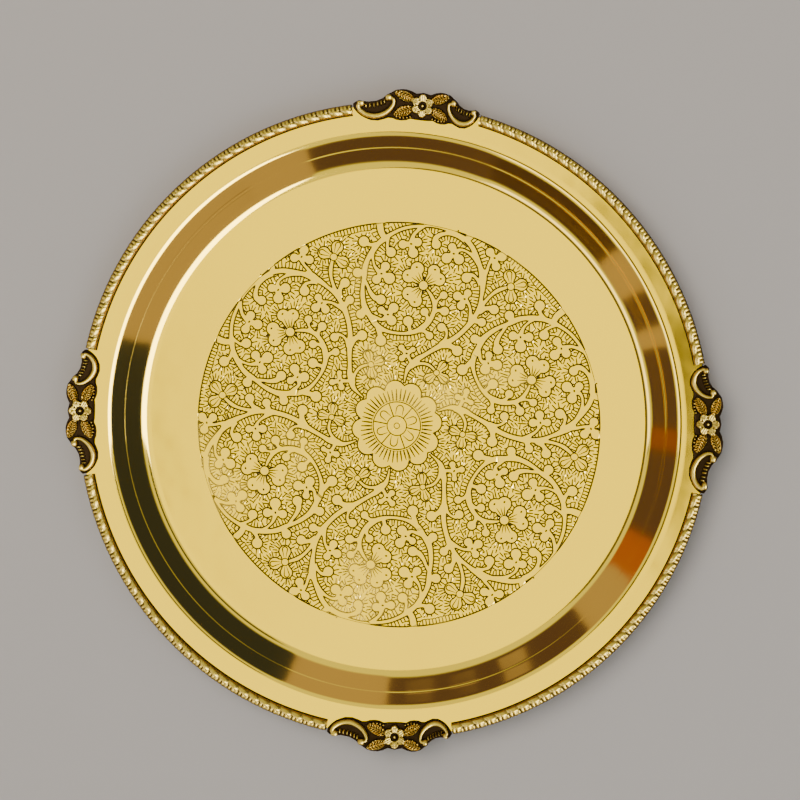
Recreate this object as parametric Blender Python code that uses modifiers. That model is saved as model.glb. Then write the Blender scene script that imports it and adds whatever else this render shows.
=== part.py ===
"""A round brass serving tray: one spun sheet pan with a cast border soldered on its edge.

The border is four gadrooned strips, with a cast flower mount between each two of them.
Every casting hooks over the pan's cut edge, and a solder seam below holds it there.
Metres, +Z up. The origin is on the tray's axis, at the height of the surface it stands on.
"""

import math

import bmesh
import bpy
from mathutils import Matrix, Vector

MM = 0.001

# The pan, spun from one disc of sheet brass.
SHEET = 1.0 * MM
FLOOR_R = 118.0 * MM
WALL_WIDTH = 16.5 * MM
WALL_RISE = 12.5 * MM
FLANGE_WIDTH = 11.0 * MM
FLANGE_RISE = 1.4 * MM
FLANGE_CURVE = 1.5
PAN_STEPS = 72
WALL_STEPS = 8
FLANGE_STEPS = 3

# What every casting has in common: the clearance to the sheet and the lip over its cut edge.
FIT = 0.3 * MM
LIP = 0.8 * MM
LIP_DROP = 1.1 * MM

# The border strips.
BORDER_WIDTH = 5.2 * MM
BORDER_HEIGHT = 2.4 * MM
BORDER_SHOULDER = 1.3 * MM
GADROON_PITCH = 5.6 * MM
GADROON_DEPTH = 0.45 * MM
STRIP_END_GAP = 0.9 * MM

# The flower mounts, set by hand on the rim, so their angles aren't exact quarters.
MOUNT_ANGLES = {"top": 85.0, "left": 178.5, "bottom": 270.0, "right": 359.5}
PLATE = 1.7 * MM
PLATE_EDGE = 0.5 * MM
# Half of the mount's outline, from its middle to its end. Along the rim, then in and out from the pan's edge.
MOUNT_OUTLINE_MM = (
    (0.0, -6.5, 6.0),
    (3.3, -6.4, 5.3),
    (5.5, -6.1, 6.4),
    (7.6, -6.9, 7.0),
    (9.7, -7.1, 7.0),
    (12.1, -6.8, 6.6),
    (13.7, -6.1, 5.6),
    (15.6, -5.9, 4.6),
    (17.4, -6.5, 3.0),
    (20.0, -7.1, 1.9),
    (23.0, -6.7, 1.7),
    (25.0, -5.6, 2.1),
    (26.6, -4.4, 2.7),
    (28.0, -2.6, 2.2),
    (29.0, -0.7, 1.4),
)
# The right-hand scroll's middle line, along the rim and out from the pan's edge, from the flower's side outwards.
SCROLL_PATH_MM = (
    (14.9, 3.1),
    (13.0, 2.5),
    (12.7, 0.6),
    (13.9, -1.8),
    (16.5, -4.0),
    (20.2, -5.3),
    (24.0, -4.5),
    (26.6, -2.2),
    (27.3, 0.2),
    (26.0, 1.3),
)
SCROLL_R = 1.15 * MM
SCROLL_TAPER = 0.35
SCROLL_BALL_R = 1.25 * MM
SCROLL_BEVEL = 1
FLOWER_PETALS = 6
PETAL_CIRCLE_R = 3.7 * MM
PETAL_HALF = (2.1 * MM, 1.6 * MM, 0.9 * MM)
FLOWER_BALL_R = 1.2 * MM
# A leaf's middle, along the rim and out from the pan's edge, and its turn: one outward and one inward.
LEAVES_MM_DEG = ((8.6, 4.1, 24.0), (8.8, -4.0, -27.0))
LEAF_HALF = (4.6 * MM, 2.1 * MM, 1.0 * MM)
BALL_SIDES = 8

# The solder under the rim.
SOLDER_LEG = 0.9 * MM
SOLDER_STEP_DEG = 4.0

# What follows from the sizes above.
WALL_TOP_R = FLOOR_R + WALL_WIDTH
PAN_R = WALL_TOP_R + FLANGE_WIDTH
CAST_EDGE_R = PAN_R + FIT
BORDER_R = CAST_EDGE_R + LIP
MOUNT_HALF = MOUNT_OUTLINE_MM[-1][0] * MM
MOUNT_HALF_DEG = math.degrees(MOUNT_HALF / PAN_R)
STRIP_GAP_DEG = math.degrees(STRIP_END_GAP / PAN_R)
PITCH_DEG = math.degrees(GADROON_PITCH / PAN_R)


def clear_scene():
    """Takes away every object that is already in the scene."""
    for obj in list(bpy.data.objects):
        bpy.data.objects.remove(obj)


def make_collection(name):
    """A new collection, linked to the scene."""
    made = bpy.data.collections.new(name)
    bpy.context.scene.collection.children.link(made)
    return made


def metal(name, colour, roughness):
    """A plain metal, from its colour and roughness."""
    made = bpy.data.materials.new(name)
    made.use_nodes = True
    shader = made.node_tree.nodes["Principled BSDF"]
    shader.inputs["Base Color"].default_value = (*colour, 1.0)
    shader.inputs["Metallic"].default_value = 1.0
    shader.inputs["Roughness"].default_value = roughness
    return made


def add_object(name, mesh, collection, material=None):
    """A new object of this mesh, in this collection."""
    made = bpy.data.objects.new(name, mesh)
    collection.objects.link(made)
    if material and not mesh.materials:
        mesh.materials.append(material)
    return made


def wall_top(radius):
    """Height of the wall's upper face at a radius: an S, flat at both ends."""
    share = (radius - FLOOR_R) / WALL_WIDTH
    return SHEET + WALL_RISE * (1 - math.cos(math.pi * share)) / 2


def flange_top(radius):
    """Height of the flange's upper face at a radius, carried on past the cut edge at its last slope."""
    share = (radius - WALL_TOP_R) / FLANGE_WIDTH
    if share > 1:
        rise = 1 + FLANGE_CURVE * (share - 1)
    else:
        rise = max(share, 0.0) ** FLANGE_CURVE
    return SHEET + WALL_RISE + FLANGE_RISE * rise


def seat(radius):
    """Height of a casting's underside, just clear of the flange."""
    return flange_top(radius) + FIT


def lip_foot():
    """Height of a casting's lowest edge, outside the sheet's cut edge."""
    return flange_top(PAN_R) - SHEET - LIP_DROP


def pan_profile():
    """The pan's section as (radius, height): out along its upper face, then back along its lower one."""
    upper = [(0.0, SHEET)]
    for i in range(WALL_STEPS + 1):
        radius = FLOOR_R + WALL_WIDTH * i / WALL_STEPS
        upper.append((radius, wall_top(radius)))
    for i in range(1, FLANGE_STEPS + 1):
        radius = WALL_TOP_R + FLANGE_WIDTH * i / FLANGE_STEPS
        upper.append((radius, flange_top(radius)))
    lower = []
    for i, (radius, height) in enumerate(upper):
        before = upper[max(i - 1, 0)]
        after = upper[min(i + 1, len(upper) - 1)]
        along = Vector((after[0] - before[0], after[1] - before[1])).normalized()
        lower.append((radius + along.y * SHEET, height - along.x * SHEET))
    lower[0] = (0.0, 0.0)
    lower[1] = (FLOOR_R, 0.0)
    lower[-1] = (PAN_R, flange_top(PAN_R) - SHEET)
    return upper + lower[::-1]


def build_pan(collection, material):
    """The pan: its closed section turned about the axis by a Screw modifier."""
    points = [(radius, 0.0, height) for radius, height in pan_profile()]
    edges = [(i, i + 1) for i in range(len(points) - 1)]
    mesh = bpy.data.meshes.new("tray_pan")
    mesh.from_pydata(points, edges, [])
    pan = add_object("tray_pan", mesh, collection, material)
    turn = pan.modifiers.new("turn", "SCREW")
    turn.axis = "Z"
    turn.angle = 2 * math.pi
    turn.steps = PAN_STEPS
    turn.render_steps = PAN_STEPS
    turn.use_merge_vertices = True
    turn.merge_threshold = 0.00001
    turn.use_smooth_shade = True
    return pan


def on_rim(along, out, height):
    """A point of the mount at +Y: along the rim and out from the pan's edge, at a height above its seat."""
    angle = along / PAN_R
    radius = PAN_R + out
    return Vector((radius * math.sin(angle), radius * math.cos(angle), seat(radius) + height))


def loft(name, rings):
    """A closed mesh through rings of points with equal counts, with its two ends filled."""
    shape = bmesh.new()
    rows = [[shape.verts.new(point) for point in ring] for ring in rings]
    count = len(rows[0])
    for one, two in zip(rows, rows[1:]):
        for i in range(count):
            j = (i + 1) % count
            shape.faces.new((one[i], one[j], two[j], two[i]))
    shape.faces.new(rows[0])
    shape.faces.new(rows[-1][::-1])
    bmesh.ops.recalc_face_normals(shape, faces=shape.faces)
    mesh = bpy.data.meshes.new(name)
    shape.to_mesh(mesh)
    shape.free()
    mesh.shade_smooth()
    mesh.set_sharp_from_angle(angle=math.radians(35))
    return mesh


def ring_at(section, degrees):
    """A section of (radius, height) points stood up at an angle about the axis."""
    angle = math.radians(degrees)
    return [(r * math.cos(angle), r * math.sin(angle), z) for r, z in section]


def strip_section(wave):
    """A border strip's section. The wave, from 0 to 1, lifts its crown from a valley to a lobe."""
    inner = BORDER_R - BORDER_WIDTH
    crown = BORDER_HEIGHT - GADROON_DEPTH * (1 - wave)
    middle = inner + BORDER_WIDTH / 2
    return [
        (inner, seat(inner)),
        (inner + GADROON_DEPTH * (1 - wave) / 2, seat(inner) + BORDER_SHOULDER / 2),
        (inner + BORDER_WIDTH / 4, seat(middle) + crown * 0.85),
        (middle, seat(middle) + crown),
        (BORDER_R - BORDER_WIDTH / 4, seat(middle) + crown * 0.85),
        (BORDER_R, seat(PAN_R) + BORDER_SHOULDER / 2),
        (BORDER_R, lip_foot()),
        (CAST_EDGE_R, lip_foot()),
        (CAST_EDGE_R, seat(PAN_R)),
    ]


def build_strip(name, start, end, collection, material):
    """One border strip: its section lofted along the rim, with a lobe for every pitch."""
    lobes = max(1, round((end - start) / PITCH_DEG))
    rings = []
    for i in range(2 * lobes + 1):
        degrees = start + (end - start) * i / (2 * lobes)
        rings.append(ring_at(strip_section(i % 2), degrees))
    return add_object(name, loft(name, rings), collection, material)


def mount_rings():
    """The rings of the mount's plate, from its left end to its right one."""
    half = [(u * MM, inner * MM, outer * MM) for u, inner, outer in MOUNT_OUTLINE_MM]
    whole = [(-u, inner, outer) for u, inner, outer in half[:0:-1]] + half
    foot = lip_foot()
    rings = []
    for along, inner, outer in whole:
        edge = min(PLATE_EDGE, (outer - inner) / 4)
        ring = [
            on_rim(along, inner, 0),
            on_rim(along, inner, PLATE - edge),
            on_rim(along, inner + edge, PLATE),
            on_rim(along, outer - edge, PLATE),
            on_rim(along, outer, PLATE - edge),
            on_rim(along, outer, 0),
            on_rim(along, FIT, 0),
            on_rim(along, FIT, 0),
        ]
        ring[5].z = foot
        ring[6].z = foot
        ring[7].z = seat(PAN_R)
        rings.append(ring)
    return rings


def add_ball(name, size, along, out, height, turn_deg, collection):
    """A sphere scaled to these half sizes and laid on the mount."""
    shape = bmesh.new()
    bmesh.ops.create_uvsphere(shape, u_segments=BALL_SIDES, v_segments=BALL_SIDES // 2, radius=1.0)
    angle = math.radians(turn_deg) - along / PAN_R
    place = Matrix.Translation(on_rim(along, out, height))
    place = place @ Matrix.Rotation(angle, 4, "Z") @ Matrix.Diagonal((*size, 1.0))
    bmesh.ops.transform(shape, matrix=place, verts=shape.verts)
    mesh = bpy.data.meshes.new(name)
    shape.to_mesh(mesh)
    shape.free()
    made = add_object(name, mesh, collection)
    made.hide_render = True
    made.display_type = "WIRE"
    return made


def add_scroll(side, collection):
    """One C scroll: a tapered tube along the path, made a mesh so that it can be joined."""
    curve = bpy.data.curves.new("scroll", "CURVE")
    curve.dimensions = "3D"
    curve.bevel_depth = SCROLL_R
    curve.bevel_resolution = SCROLL_BEVEL
    curve.use_fill_caps = True
    line = curve.splines.new("POLY")
    line.points.add(len(SCROLL_PATH_MM) - 1)
    last = len(SCROLL_PATH_MM) - 1
    for i, (along, out) in enumerate(SCROLL_PATH_MM):
        point = on_rim(side * along * MM, out * MM, PLATE)
        line.points[i].co = (*point, 1.0)
        line.points[i].radius = 1 - SCROLL_TAPER * abs(2 * i / last - 1)
    tube = add_object("scroll_curve", curve, collection)
    graph = bpy.context.evaluated_depsgraph_get()
    mesh = bpy.data.meshes.new_from_object(tube.evaluated_get(graph))
    bpy.data.objects.remove(tube)
    shape = bmesh.new()
    shape.from_mesh(mesh)
    bmesh.ops.remove_doubles(shape, verts=shape.verts, dist=0.000001)
    bmesh.ops.recalc_face_normals(shape, faces=shape.faces)
    shape.to_mesh(mesh)
    shape.free()
    made = add_object("scroll_tube", mesh, collection)
    made.hide_render = True
    made.display_type = "WIRE"
    for along, out in (SCROLL_PATH_MM[0], SCROLL_PATH_MM[-1]):
        ball = (SCROLL_BALL_R,) * 3
        add_ball("scroll_ball", ball, side * along * MM, out * MM, PLATE, 0, collection)


def mount_mesh(relief, material):
    """The mount at +Y: its plate, with the flower, the leaves and the scrolls joined on."""
    for side in (-1, 1):
        add_scroll(side, relief)
        for along, out, turn in LEAVES_MM_DEG:
            add_ball("leaf", LEAF_HALF, side * along * MM, out * MM, PLATE, side * turn, relief)
    for i in range(FLOWER_PETALS):
        turn = 90 + i * 360 / FLOWER_PETALS
        along = PETAL_CIRCLE_R * math.cos(math.radians(turn))
        out = PETAL_CIRCLE_R * math.sin(math.radians(turn))
        add_ball("petal", PETAL_HALF, along, out, PLATE, turn, relief)
    add_ball("flower_ball", (FLOWER_BALL_R,) * 3, 0, 0, PLATE + PETAL_HALF[2] / 2, 0, relief)
    plate = add_object("mount_plate", loft("mount_plate", mount_rings()), relief)
    join = plate.modifiers.new("join_relief", "BOOLEAN")
    join.operation = "UNION"
    join.operand_type = "COLLECTION"
    tools = make_collection("mount_relief_tools")
    for obj in [o for o in relief.objects if o is not plate]:
        relief.objects.unlink(obj)
        tools.objects.link(obj)
    join.collection = tools
    graph = bpy.context.evaluated_depsgraph_get()
    mesh = bpy.data.meshes.new_from_object(plate.evaluated_get(graph))
    mesh.name = "flower_mount"
    for obj in [plate, *tools.objects]:
        bpy.data.objects.remove(obj)
    mesh.materials.clear()
    mesh.materials.append(material)
    return mesh


def solder_section():
    """The solder's section, a fillet in the corner between the sheet and a casting's lip."""
    under = flange_top(PAN_R) - SHEET
    corner = (CAST_EDGE_R - FIT, under - FIT)
    slope = (flange_top(PAN_R) - flange_top(PAN_R - SOLDER_LEG)) / SOLDER_LEG
    return [
        corner,
        (corner[0] - SOLDER_LEG, corner[1] - slope * SOLDER_LEG),
        (corner[0] - SOLDER_LEG * 0.4, corner[1] - SOLDER_LEG * 0.55),
        (corner[0], corner[1] - SOLDER_LEG),
    ]


def build_solder(name, start, end, collection, material):
    """One solder seam between two angles."""
    steps = max(2, round((end - start) / SOLDER_STEP_DEG))
    rings = [
        ring_at(solder_section(), start + (end - start) * i / steps) for i in range(steps + 1)
    ]
    return add_object(name, loft(name, rings), collection, material)


def build_tray():
    """Every piece of the tray, each as an object of its own."""
    clear_scene()
    tray = make_collection("brass_tray")
    relief = make_collection("mount_relief")
    polished = metal("polished_brass", (0.87, 0.62, 0.20), 0.12)
    antique = metal("antique_cast_brass", (0.55, 0.38, 0.14), 0.35)
    solder = metal("soft_solder", (0.50, 0.49, 0.46), 0.45)

    build_pan(tray, polished)

    mount = mount_mesh(relief, antique)
    for where, degrees in MOUNT_ANGLES.items():
        placed = add_object(f"flower_mount_{where}", mount, tray)
        placed.rotation_euler.z = math.radians(degrees - 90)
        reach = MOUNT_HALF_DEG - STRIP_GAP_DEG
        build_solder(f"mount_solder_{where}", degrees - reach, degrees + reach, tray, solder)

    names = list(MOUNT_ANGLES)
    for here, there in zip(names, names[1:] + names[:1]):
        start = MOUNT_ANGLES[here] + MOUNT_HALF_DEG + STRIP_GAP_DEG
        end = MOUNT_ANGLES[there] - MOUNT_HALF_DEG - STRIP_GAP_DEG
        if end < start:
            end += 360
        build_strip(f"border_strip_{here}_{there}", start, end, tray, antique)
        build_solder(f"border_solder_{here}_{there}", start, end, tray, solder)


build_tray()
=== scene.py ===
# %% [markdown]
# # A round brass serving tray
#
# The tray is one spun brass sheet with an engraved middle. Round its edge runs a cast border of
# slanting lobes, in four strips, with a cast flower mount between each two of them.
# The CAD model already fixes every size and place. This script loads it as a frame, and then
# gives each piece the fine shape and the finish that a maker's hand would leave on it.

# %% Load the frame
import math

import bmesh
import bpy
import numpy as np
from mathutils import Matrix, Vector
from mathutils.geometry import delaunay_2d_cdt
from mathutils.kdtree import KDTree


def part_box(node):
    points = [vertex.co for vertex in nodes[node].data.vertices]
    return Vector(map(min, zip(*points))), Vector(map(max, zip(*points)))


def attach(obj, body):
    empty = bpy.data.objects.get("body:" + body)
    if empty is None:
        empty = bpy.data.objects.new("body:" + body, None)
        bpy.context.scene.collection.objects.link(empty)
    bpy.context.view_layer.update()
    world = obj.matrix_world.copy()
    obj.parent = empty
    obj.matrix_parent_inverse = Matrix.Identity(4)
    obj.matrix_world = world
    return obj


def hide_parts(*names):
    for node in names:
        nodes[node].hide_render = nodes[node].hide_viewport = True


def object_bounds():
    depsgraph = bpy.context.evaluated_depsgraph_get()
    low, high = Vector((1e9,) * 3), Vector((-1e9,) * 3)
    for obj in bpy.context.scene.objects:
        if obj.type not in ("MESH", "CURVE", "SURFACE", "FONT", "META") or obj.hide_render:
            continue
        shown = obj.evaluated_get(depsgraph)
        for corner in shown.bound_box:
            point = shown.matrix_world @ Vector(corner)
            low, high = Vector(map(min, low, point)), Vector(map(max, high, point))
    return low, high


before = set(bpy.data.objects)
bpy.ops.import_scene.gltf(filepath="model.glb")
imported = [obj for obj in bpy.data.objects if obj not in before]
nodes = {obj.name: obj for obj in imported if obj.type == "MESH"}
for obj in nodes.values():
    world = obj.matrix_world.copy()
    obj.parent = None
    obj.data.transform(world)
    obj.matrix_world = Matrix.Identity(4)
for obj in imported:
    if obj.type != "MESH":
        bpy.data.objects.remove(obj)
cad_low, cad_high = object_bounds()
print("CAD nodes:", len(nodes), "size in mm:", [round(v * 1000, 1) for v in cad_high - cad_low])

# %% [markdown]
# ## Sizes shared by every piece
#
# A spun tray is turned on a lathe, so its whole shape follows from one section: flat floor,
# an S-shaped wall, and a flange that rises gently. The castings sit on that flange.
# The radii of the sheet come from the CAD nodes, and the rest are the sheet's own section.

# %% The sheet's section
MM = 0.001
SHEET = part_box("tray_pan")[0].z + 1.0 * MM
PAN_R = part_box("tray_pan")[1].y
WALL_TOP_R = PAN_R - 11.0 * MM
FLOOR_R = WALL_TOP_R - 16.5 * MM
WALL_RISE = 12.5 * MM
FLANGE_RISE = 1.4 * MM
FLANGE_CURVE = 1.5


def flange_top(radius):
    """Height of the flange that the castings sit on, carried on past the sheet's edge."""
    share = (radius - WALL_TOP_R) / (PAN_R - WALL_TOP_R)
    rise = 1 + FLANGE_CURVE * (share - 1) if share > 1 else max(share, 0.0) ** FLANGE_CURVE
    return SHEET + WALL_RISE + FLANGE_RISE * rise


radii = [round(r / MM, 2) for r in (FLOOR_R, WALL_TOP_R, PAN_R)]
print("floor, wall top and edge radius in mm:", radii)

# %% [markdown]
# ## The camera
#
# The tray lies flat and is looked at from almost straight above, with the viewer standing a
# little to its right. A long lens of 113 mm, held 115 cm away, keeps the far rim nearly as large
# as the near one. The camera comes first, so that every later look is through it.

# %% Camera
RIM_Z = flange_top(PAN_R)
CAMERA_TILT = math.radians(8.92)
CAMERA_SIDE = math.radians(26.5)
CAMERA_DISTANCE = 1.15
AIM_FROM_AXIS = Vector((5.06 * MM, 10.68 * MM, RIM_Z))


def place_object(name, data):
    """A new object at the origin, linked to the scene."""
    made = bpy.data.objects.new(name, data)
    bpy.context.scene.collection.objects.link(made)
    return made


lens = bpy.data.cameras.new("camera")
lens.lens = 112.75
lens.sensor_width = 36.0
lens.clip_start, lens.clip_end = 0.05, 20.0
camera = place_object("camera", lens)
towards_viewer = Vector(
    (
        math.sin(CAMERA_TILT) * math.cos(CAMERA_SIDE),
        math.sin(CAMERA_TILT) * math.sin(CAMERA_SIDE),
        math.cos(CAMERA_TILT),
    )
)
right = Vector((0, 1, 0)).cross(towards_viewer).normalized()
up = towards_viewer.cross(right)
camera.matrix_world = Matrix.Translation(AIM_FROM_AXIS + CAMERA_DISTANCE * towards_viewer) @ (
    Matrix((right, up, towards_viewer)).transposed().to_4x4()
)
bpy.context.scene.camera = camera
print("camera at", [round(v, 3) for v in camera.matrix_world.translation])

# %% [markdown]
# ## Helpers for materials and node trees
#
# Every material below is built from the same few moves: add a node, set its values, and plug
# other nodes into it. One small function does all three, for shader and geometry trees alike.
# A few more name the nodes that come up again and again.

# %% Functions that add nodes


def add_node(tree, kind, inputs=None, **settings):
    """A new node. Settings are its properties. Each input is a value, or a node's output."""
    node = tree.nodes.new(kind)
    for key, value in settings.items():
        setattr(node, key, value)
    for key, value in (inputs or {}).items():
        if isinstance(value, bpy.types.NodeSocket):
            tree.links.new(value, node.inputs[key])
        else:
            node.inputs[key].default_value = value
    return node


def output_of(tree, kind, output, inputs=None, **settings):
    """One output of a new node."""
    return add_node(tree, kind, inputs, **settings).outputs[output]


def calculate(tree, operation, *inputs):
    """The result of a Math node that is given these numbers or outputs, in order."""
    return output_of(tree, "ShaderNodeMath", "Value", dict(enumerate(inputs)), operation=operation)


def hex_colour(text):
    """A linear colour from an sRGB hex value."""
    parts = [int(text[i : i + 2], 16) / 255 for i in (1, 3, 5)]
    linear = [v / 12.92 if v <= 0.04045 else ((v + 0.055) / 1.055) ** 2.4 for v in parts]
    return (*linear, 1.0)


def attribute_of(tree, name):
    """What the mesh stores under this name."""
    return output_of(tree, "ShaderNodeAttribute", "Fac", attribute_name=name)


def noise(tree, scale, detail, roughness):
    """Noise over the real size of the piece, with about this many cycles in a metre."""
    place = output_of(tree, "ShaderNodeTexCoord", "Object")
    values = {"Vector": place, "Scale": scale, "Detail": detail, "Roughness": roughness}
    return output_of(tree, "ShaderNodeTexNoise", "Fac", values)


def spread(tree, value, source=(0.0, 1.0), target=(0.0, 1.0), **settings):
    """A value mapped from one range to another, and kept inside it."""
    names = ("From Min", "From Max", "To Min", "To Max")
    values = {"Value": value, **dict(zip(names, (*source, *target)))}
    return output_of(tree, "ShaderNodeMapRange", "Result", values, **settings)


def blend(tree, share, *colours):
    """A colour between two, each a hex value or a node's output."""
    a, b = (hex_colour(c) if isinstance(c, str) else c for c in colours)
    values = {"Factor": share, "A": a, "B": b}
    return output_of(tree, "ShaderNodeMix", "Result", values, data_type="RGBA")


def new_material(name):
    """An empty material: its tree and its Principled shader."""
    made = bpy.data.materials.new(name)
    made.use_nodes = True
    made.node_tree.nodes.clear()
    tree = made.node_tree
    shader = add_node(tree, "ShaderNodeBsdfPrincipled", {"Metallic": 1.0})
    add_node(tree, "ShaderNodeOutputMaterial", {"Surface": shader.outputs["BSDF"]})
    return made, tree, shader


def finish_shader(tree, shader, colour, rough, height, strength, distance):
    """Plugs a colour, a roughness and a bump of this strength and depth into the shader."""
    values = {"Height": height, "Strength": strength, "Distance": distance}
    normal = output_of(tree, "ShaderNodeBump", "Normal", values)
    for key, value in (("Base Color", colour), ("Roughness", rough), ("Normal", normal)):
        tree.links.new(value, shader.inputs[key])

# %% [markdown]
# ## Polished brass
#
# The sheet is brass of about two parts copper to one part zinc, spun and then buffed. Buffing
# leaves it mirror-like but not perfect: a broad, soft unevenness that bends reflections, and
# a faint haze that comes and goes where cloths have rubbed it. In the engraved lines sits old
# polish and tarnish, nearly black-brown. Where hands and cloths have passed most, the lines
# are rubbed paler. Two attributes of the mesh say where: "patina" in the cuts, and "ground"
# on the small facets between the cuts, which the graver has hammered down and burred.

# %% Polished brass
polished_brass, tree, shader = new_material("spun_polished_brass")
patina = attribute_of(tree, "patina")
# Rubbed areas are 40 to 80 mm wide, so the noise has about 16 cycles in a metre.
rubbed = noise(tree, 16.0, 2.0, 0.5)
kept = spread(tree, rubbed, (0.34, 0.44), (0.6, 1.0))
dark = calculate(tree, "MULTIPLY", patina, kept)
# The metal's tone and its haze drift over about 10 cm.
tone = noise(tree, 9.0, 3.0, 0.6)
brass = blend(tree, tone, "#F0BE46", "#ECB842")
burred = blend(tree, attribute_of(tree, "ground"), brass, "#F2BF58")
tarnished = blend(tree, dark, burred, "#2A1E08")
haze = spread(tree, tone, (0.3, 0.7), (0.07, 0.11))
rough = calculate(tree, "MULTIPLY_ADD", patina, 0.40, haze)
# The unevenness of a buffed sheet: bumps a few centimetres wide and a few hundredths deep.
uneven = noise(tree, 34.0, 2.0, 0.5)
finish_shader(tree, shader, tarnished, rough, uneven, 0.25, 0.6 * MM)
print("material:", polished_brass.name)

# %% [markdown]
# ## Antiqued cast brass
#
# The border and the mounts are sand-cast, darkened all over with a chemical stain, and then
# rubbed back so that only the high places shine. So the colour follows the relief. Each
# casting's mesh carries a "cavity" attribute, 0 on the high places and 1 deep between them,
# and the material turns it into stain. Along the border's inner edge the same darkening is
# also painted shade, for the gap where the border meets the flange.

# %% Antiqued cast brass
antique_brass, tree, shader = new_material("antiqued_cast_brass")
# Casting grain of about 1 mm, which breaks the edge of the stain.
grain = noise(tree, 900.0, 3.0, 0.6)
# The cavity holds real stain, and on the border's inner edge painted shade of its gap to the
# flange.
stain_and_shade_level = calculate(tree, "MULTIPLY_ADD", grain, 0.35, attribute_of(tree, "cavity"))
stain_and_shade = spread(tree, stain_and_shade_level, (0.42, 1.0), interpolation_type="SMOOTHSTEP")
colour = blend(tree, stain_and_shade, "#BE9844", "#2A1B0D")
rough = spread(tree, stain_and_shade, target=(0.3, 0.6))
finish_shader(tree, shader, colour, rough, grain, 0.35, 0.1 * MM)
print("material:", antique_brass.name)

# %% [markdown]
# ## Soft solder
#
# Under the rim, each casting is held by a seam of tin-lead solder. It is dull grey, a little
# wavy from the torch, and freckled where flux has eaten it.

# %% Soft solder
soft_solder, tree, shader = new_material("wiped_soft_solder")
# Freckles one or two millimetres wide.
freckles = noise(tree, 600.0, 4.0, 0.65)
colour = blend(tree, freckles, "#8F8D86", "#4C4A44")
rough = spread(tree, freckles, target=(0.35, 0.6))
finish_shader(tree, shader, colour, rough, freckles, 0.6, 0.2 * MM)
for name, obj in nodes.items():
    if "solder" in name:
        for material_slot in obj.material_slots:
            material_slot.link = "OBJECT"
            material_slot.material = soft_solder
        if not obj.material_slots:
            obj.data.materials.append(soft_solder)
print("material:", soft_solder.name)

# %% [markdown]
# ## The engraved middle: what the engraver drew
#
# The engraver laid out one scroll of leaves and flowers and repeated it six times round a
# rosette. So only a sixth is described here, in millimetres, with +Y up its middle.
# A stem is a line of points with a half width at each. A bud is a circle. A trefoil is three
# buds round a centre, and a flower is a ring of petals. What the shapes cover stays plain,
# and everything between them is filled with short cuts of the graver.

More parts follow.
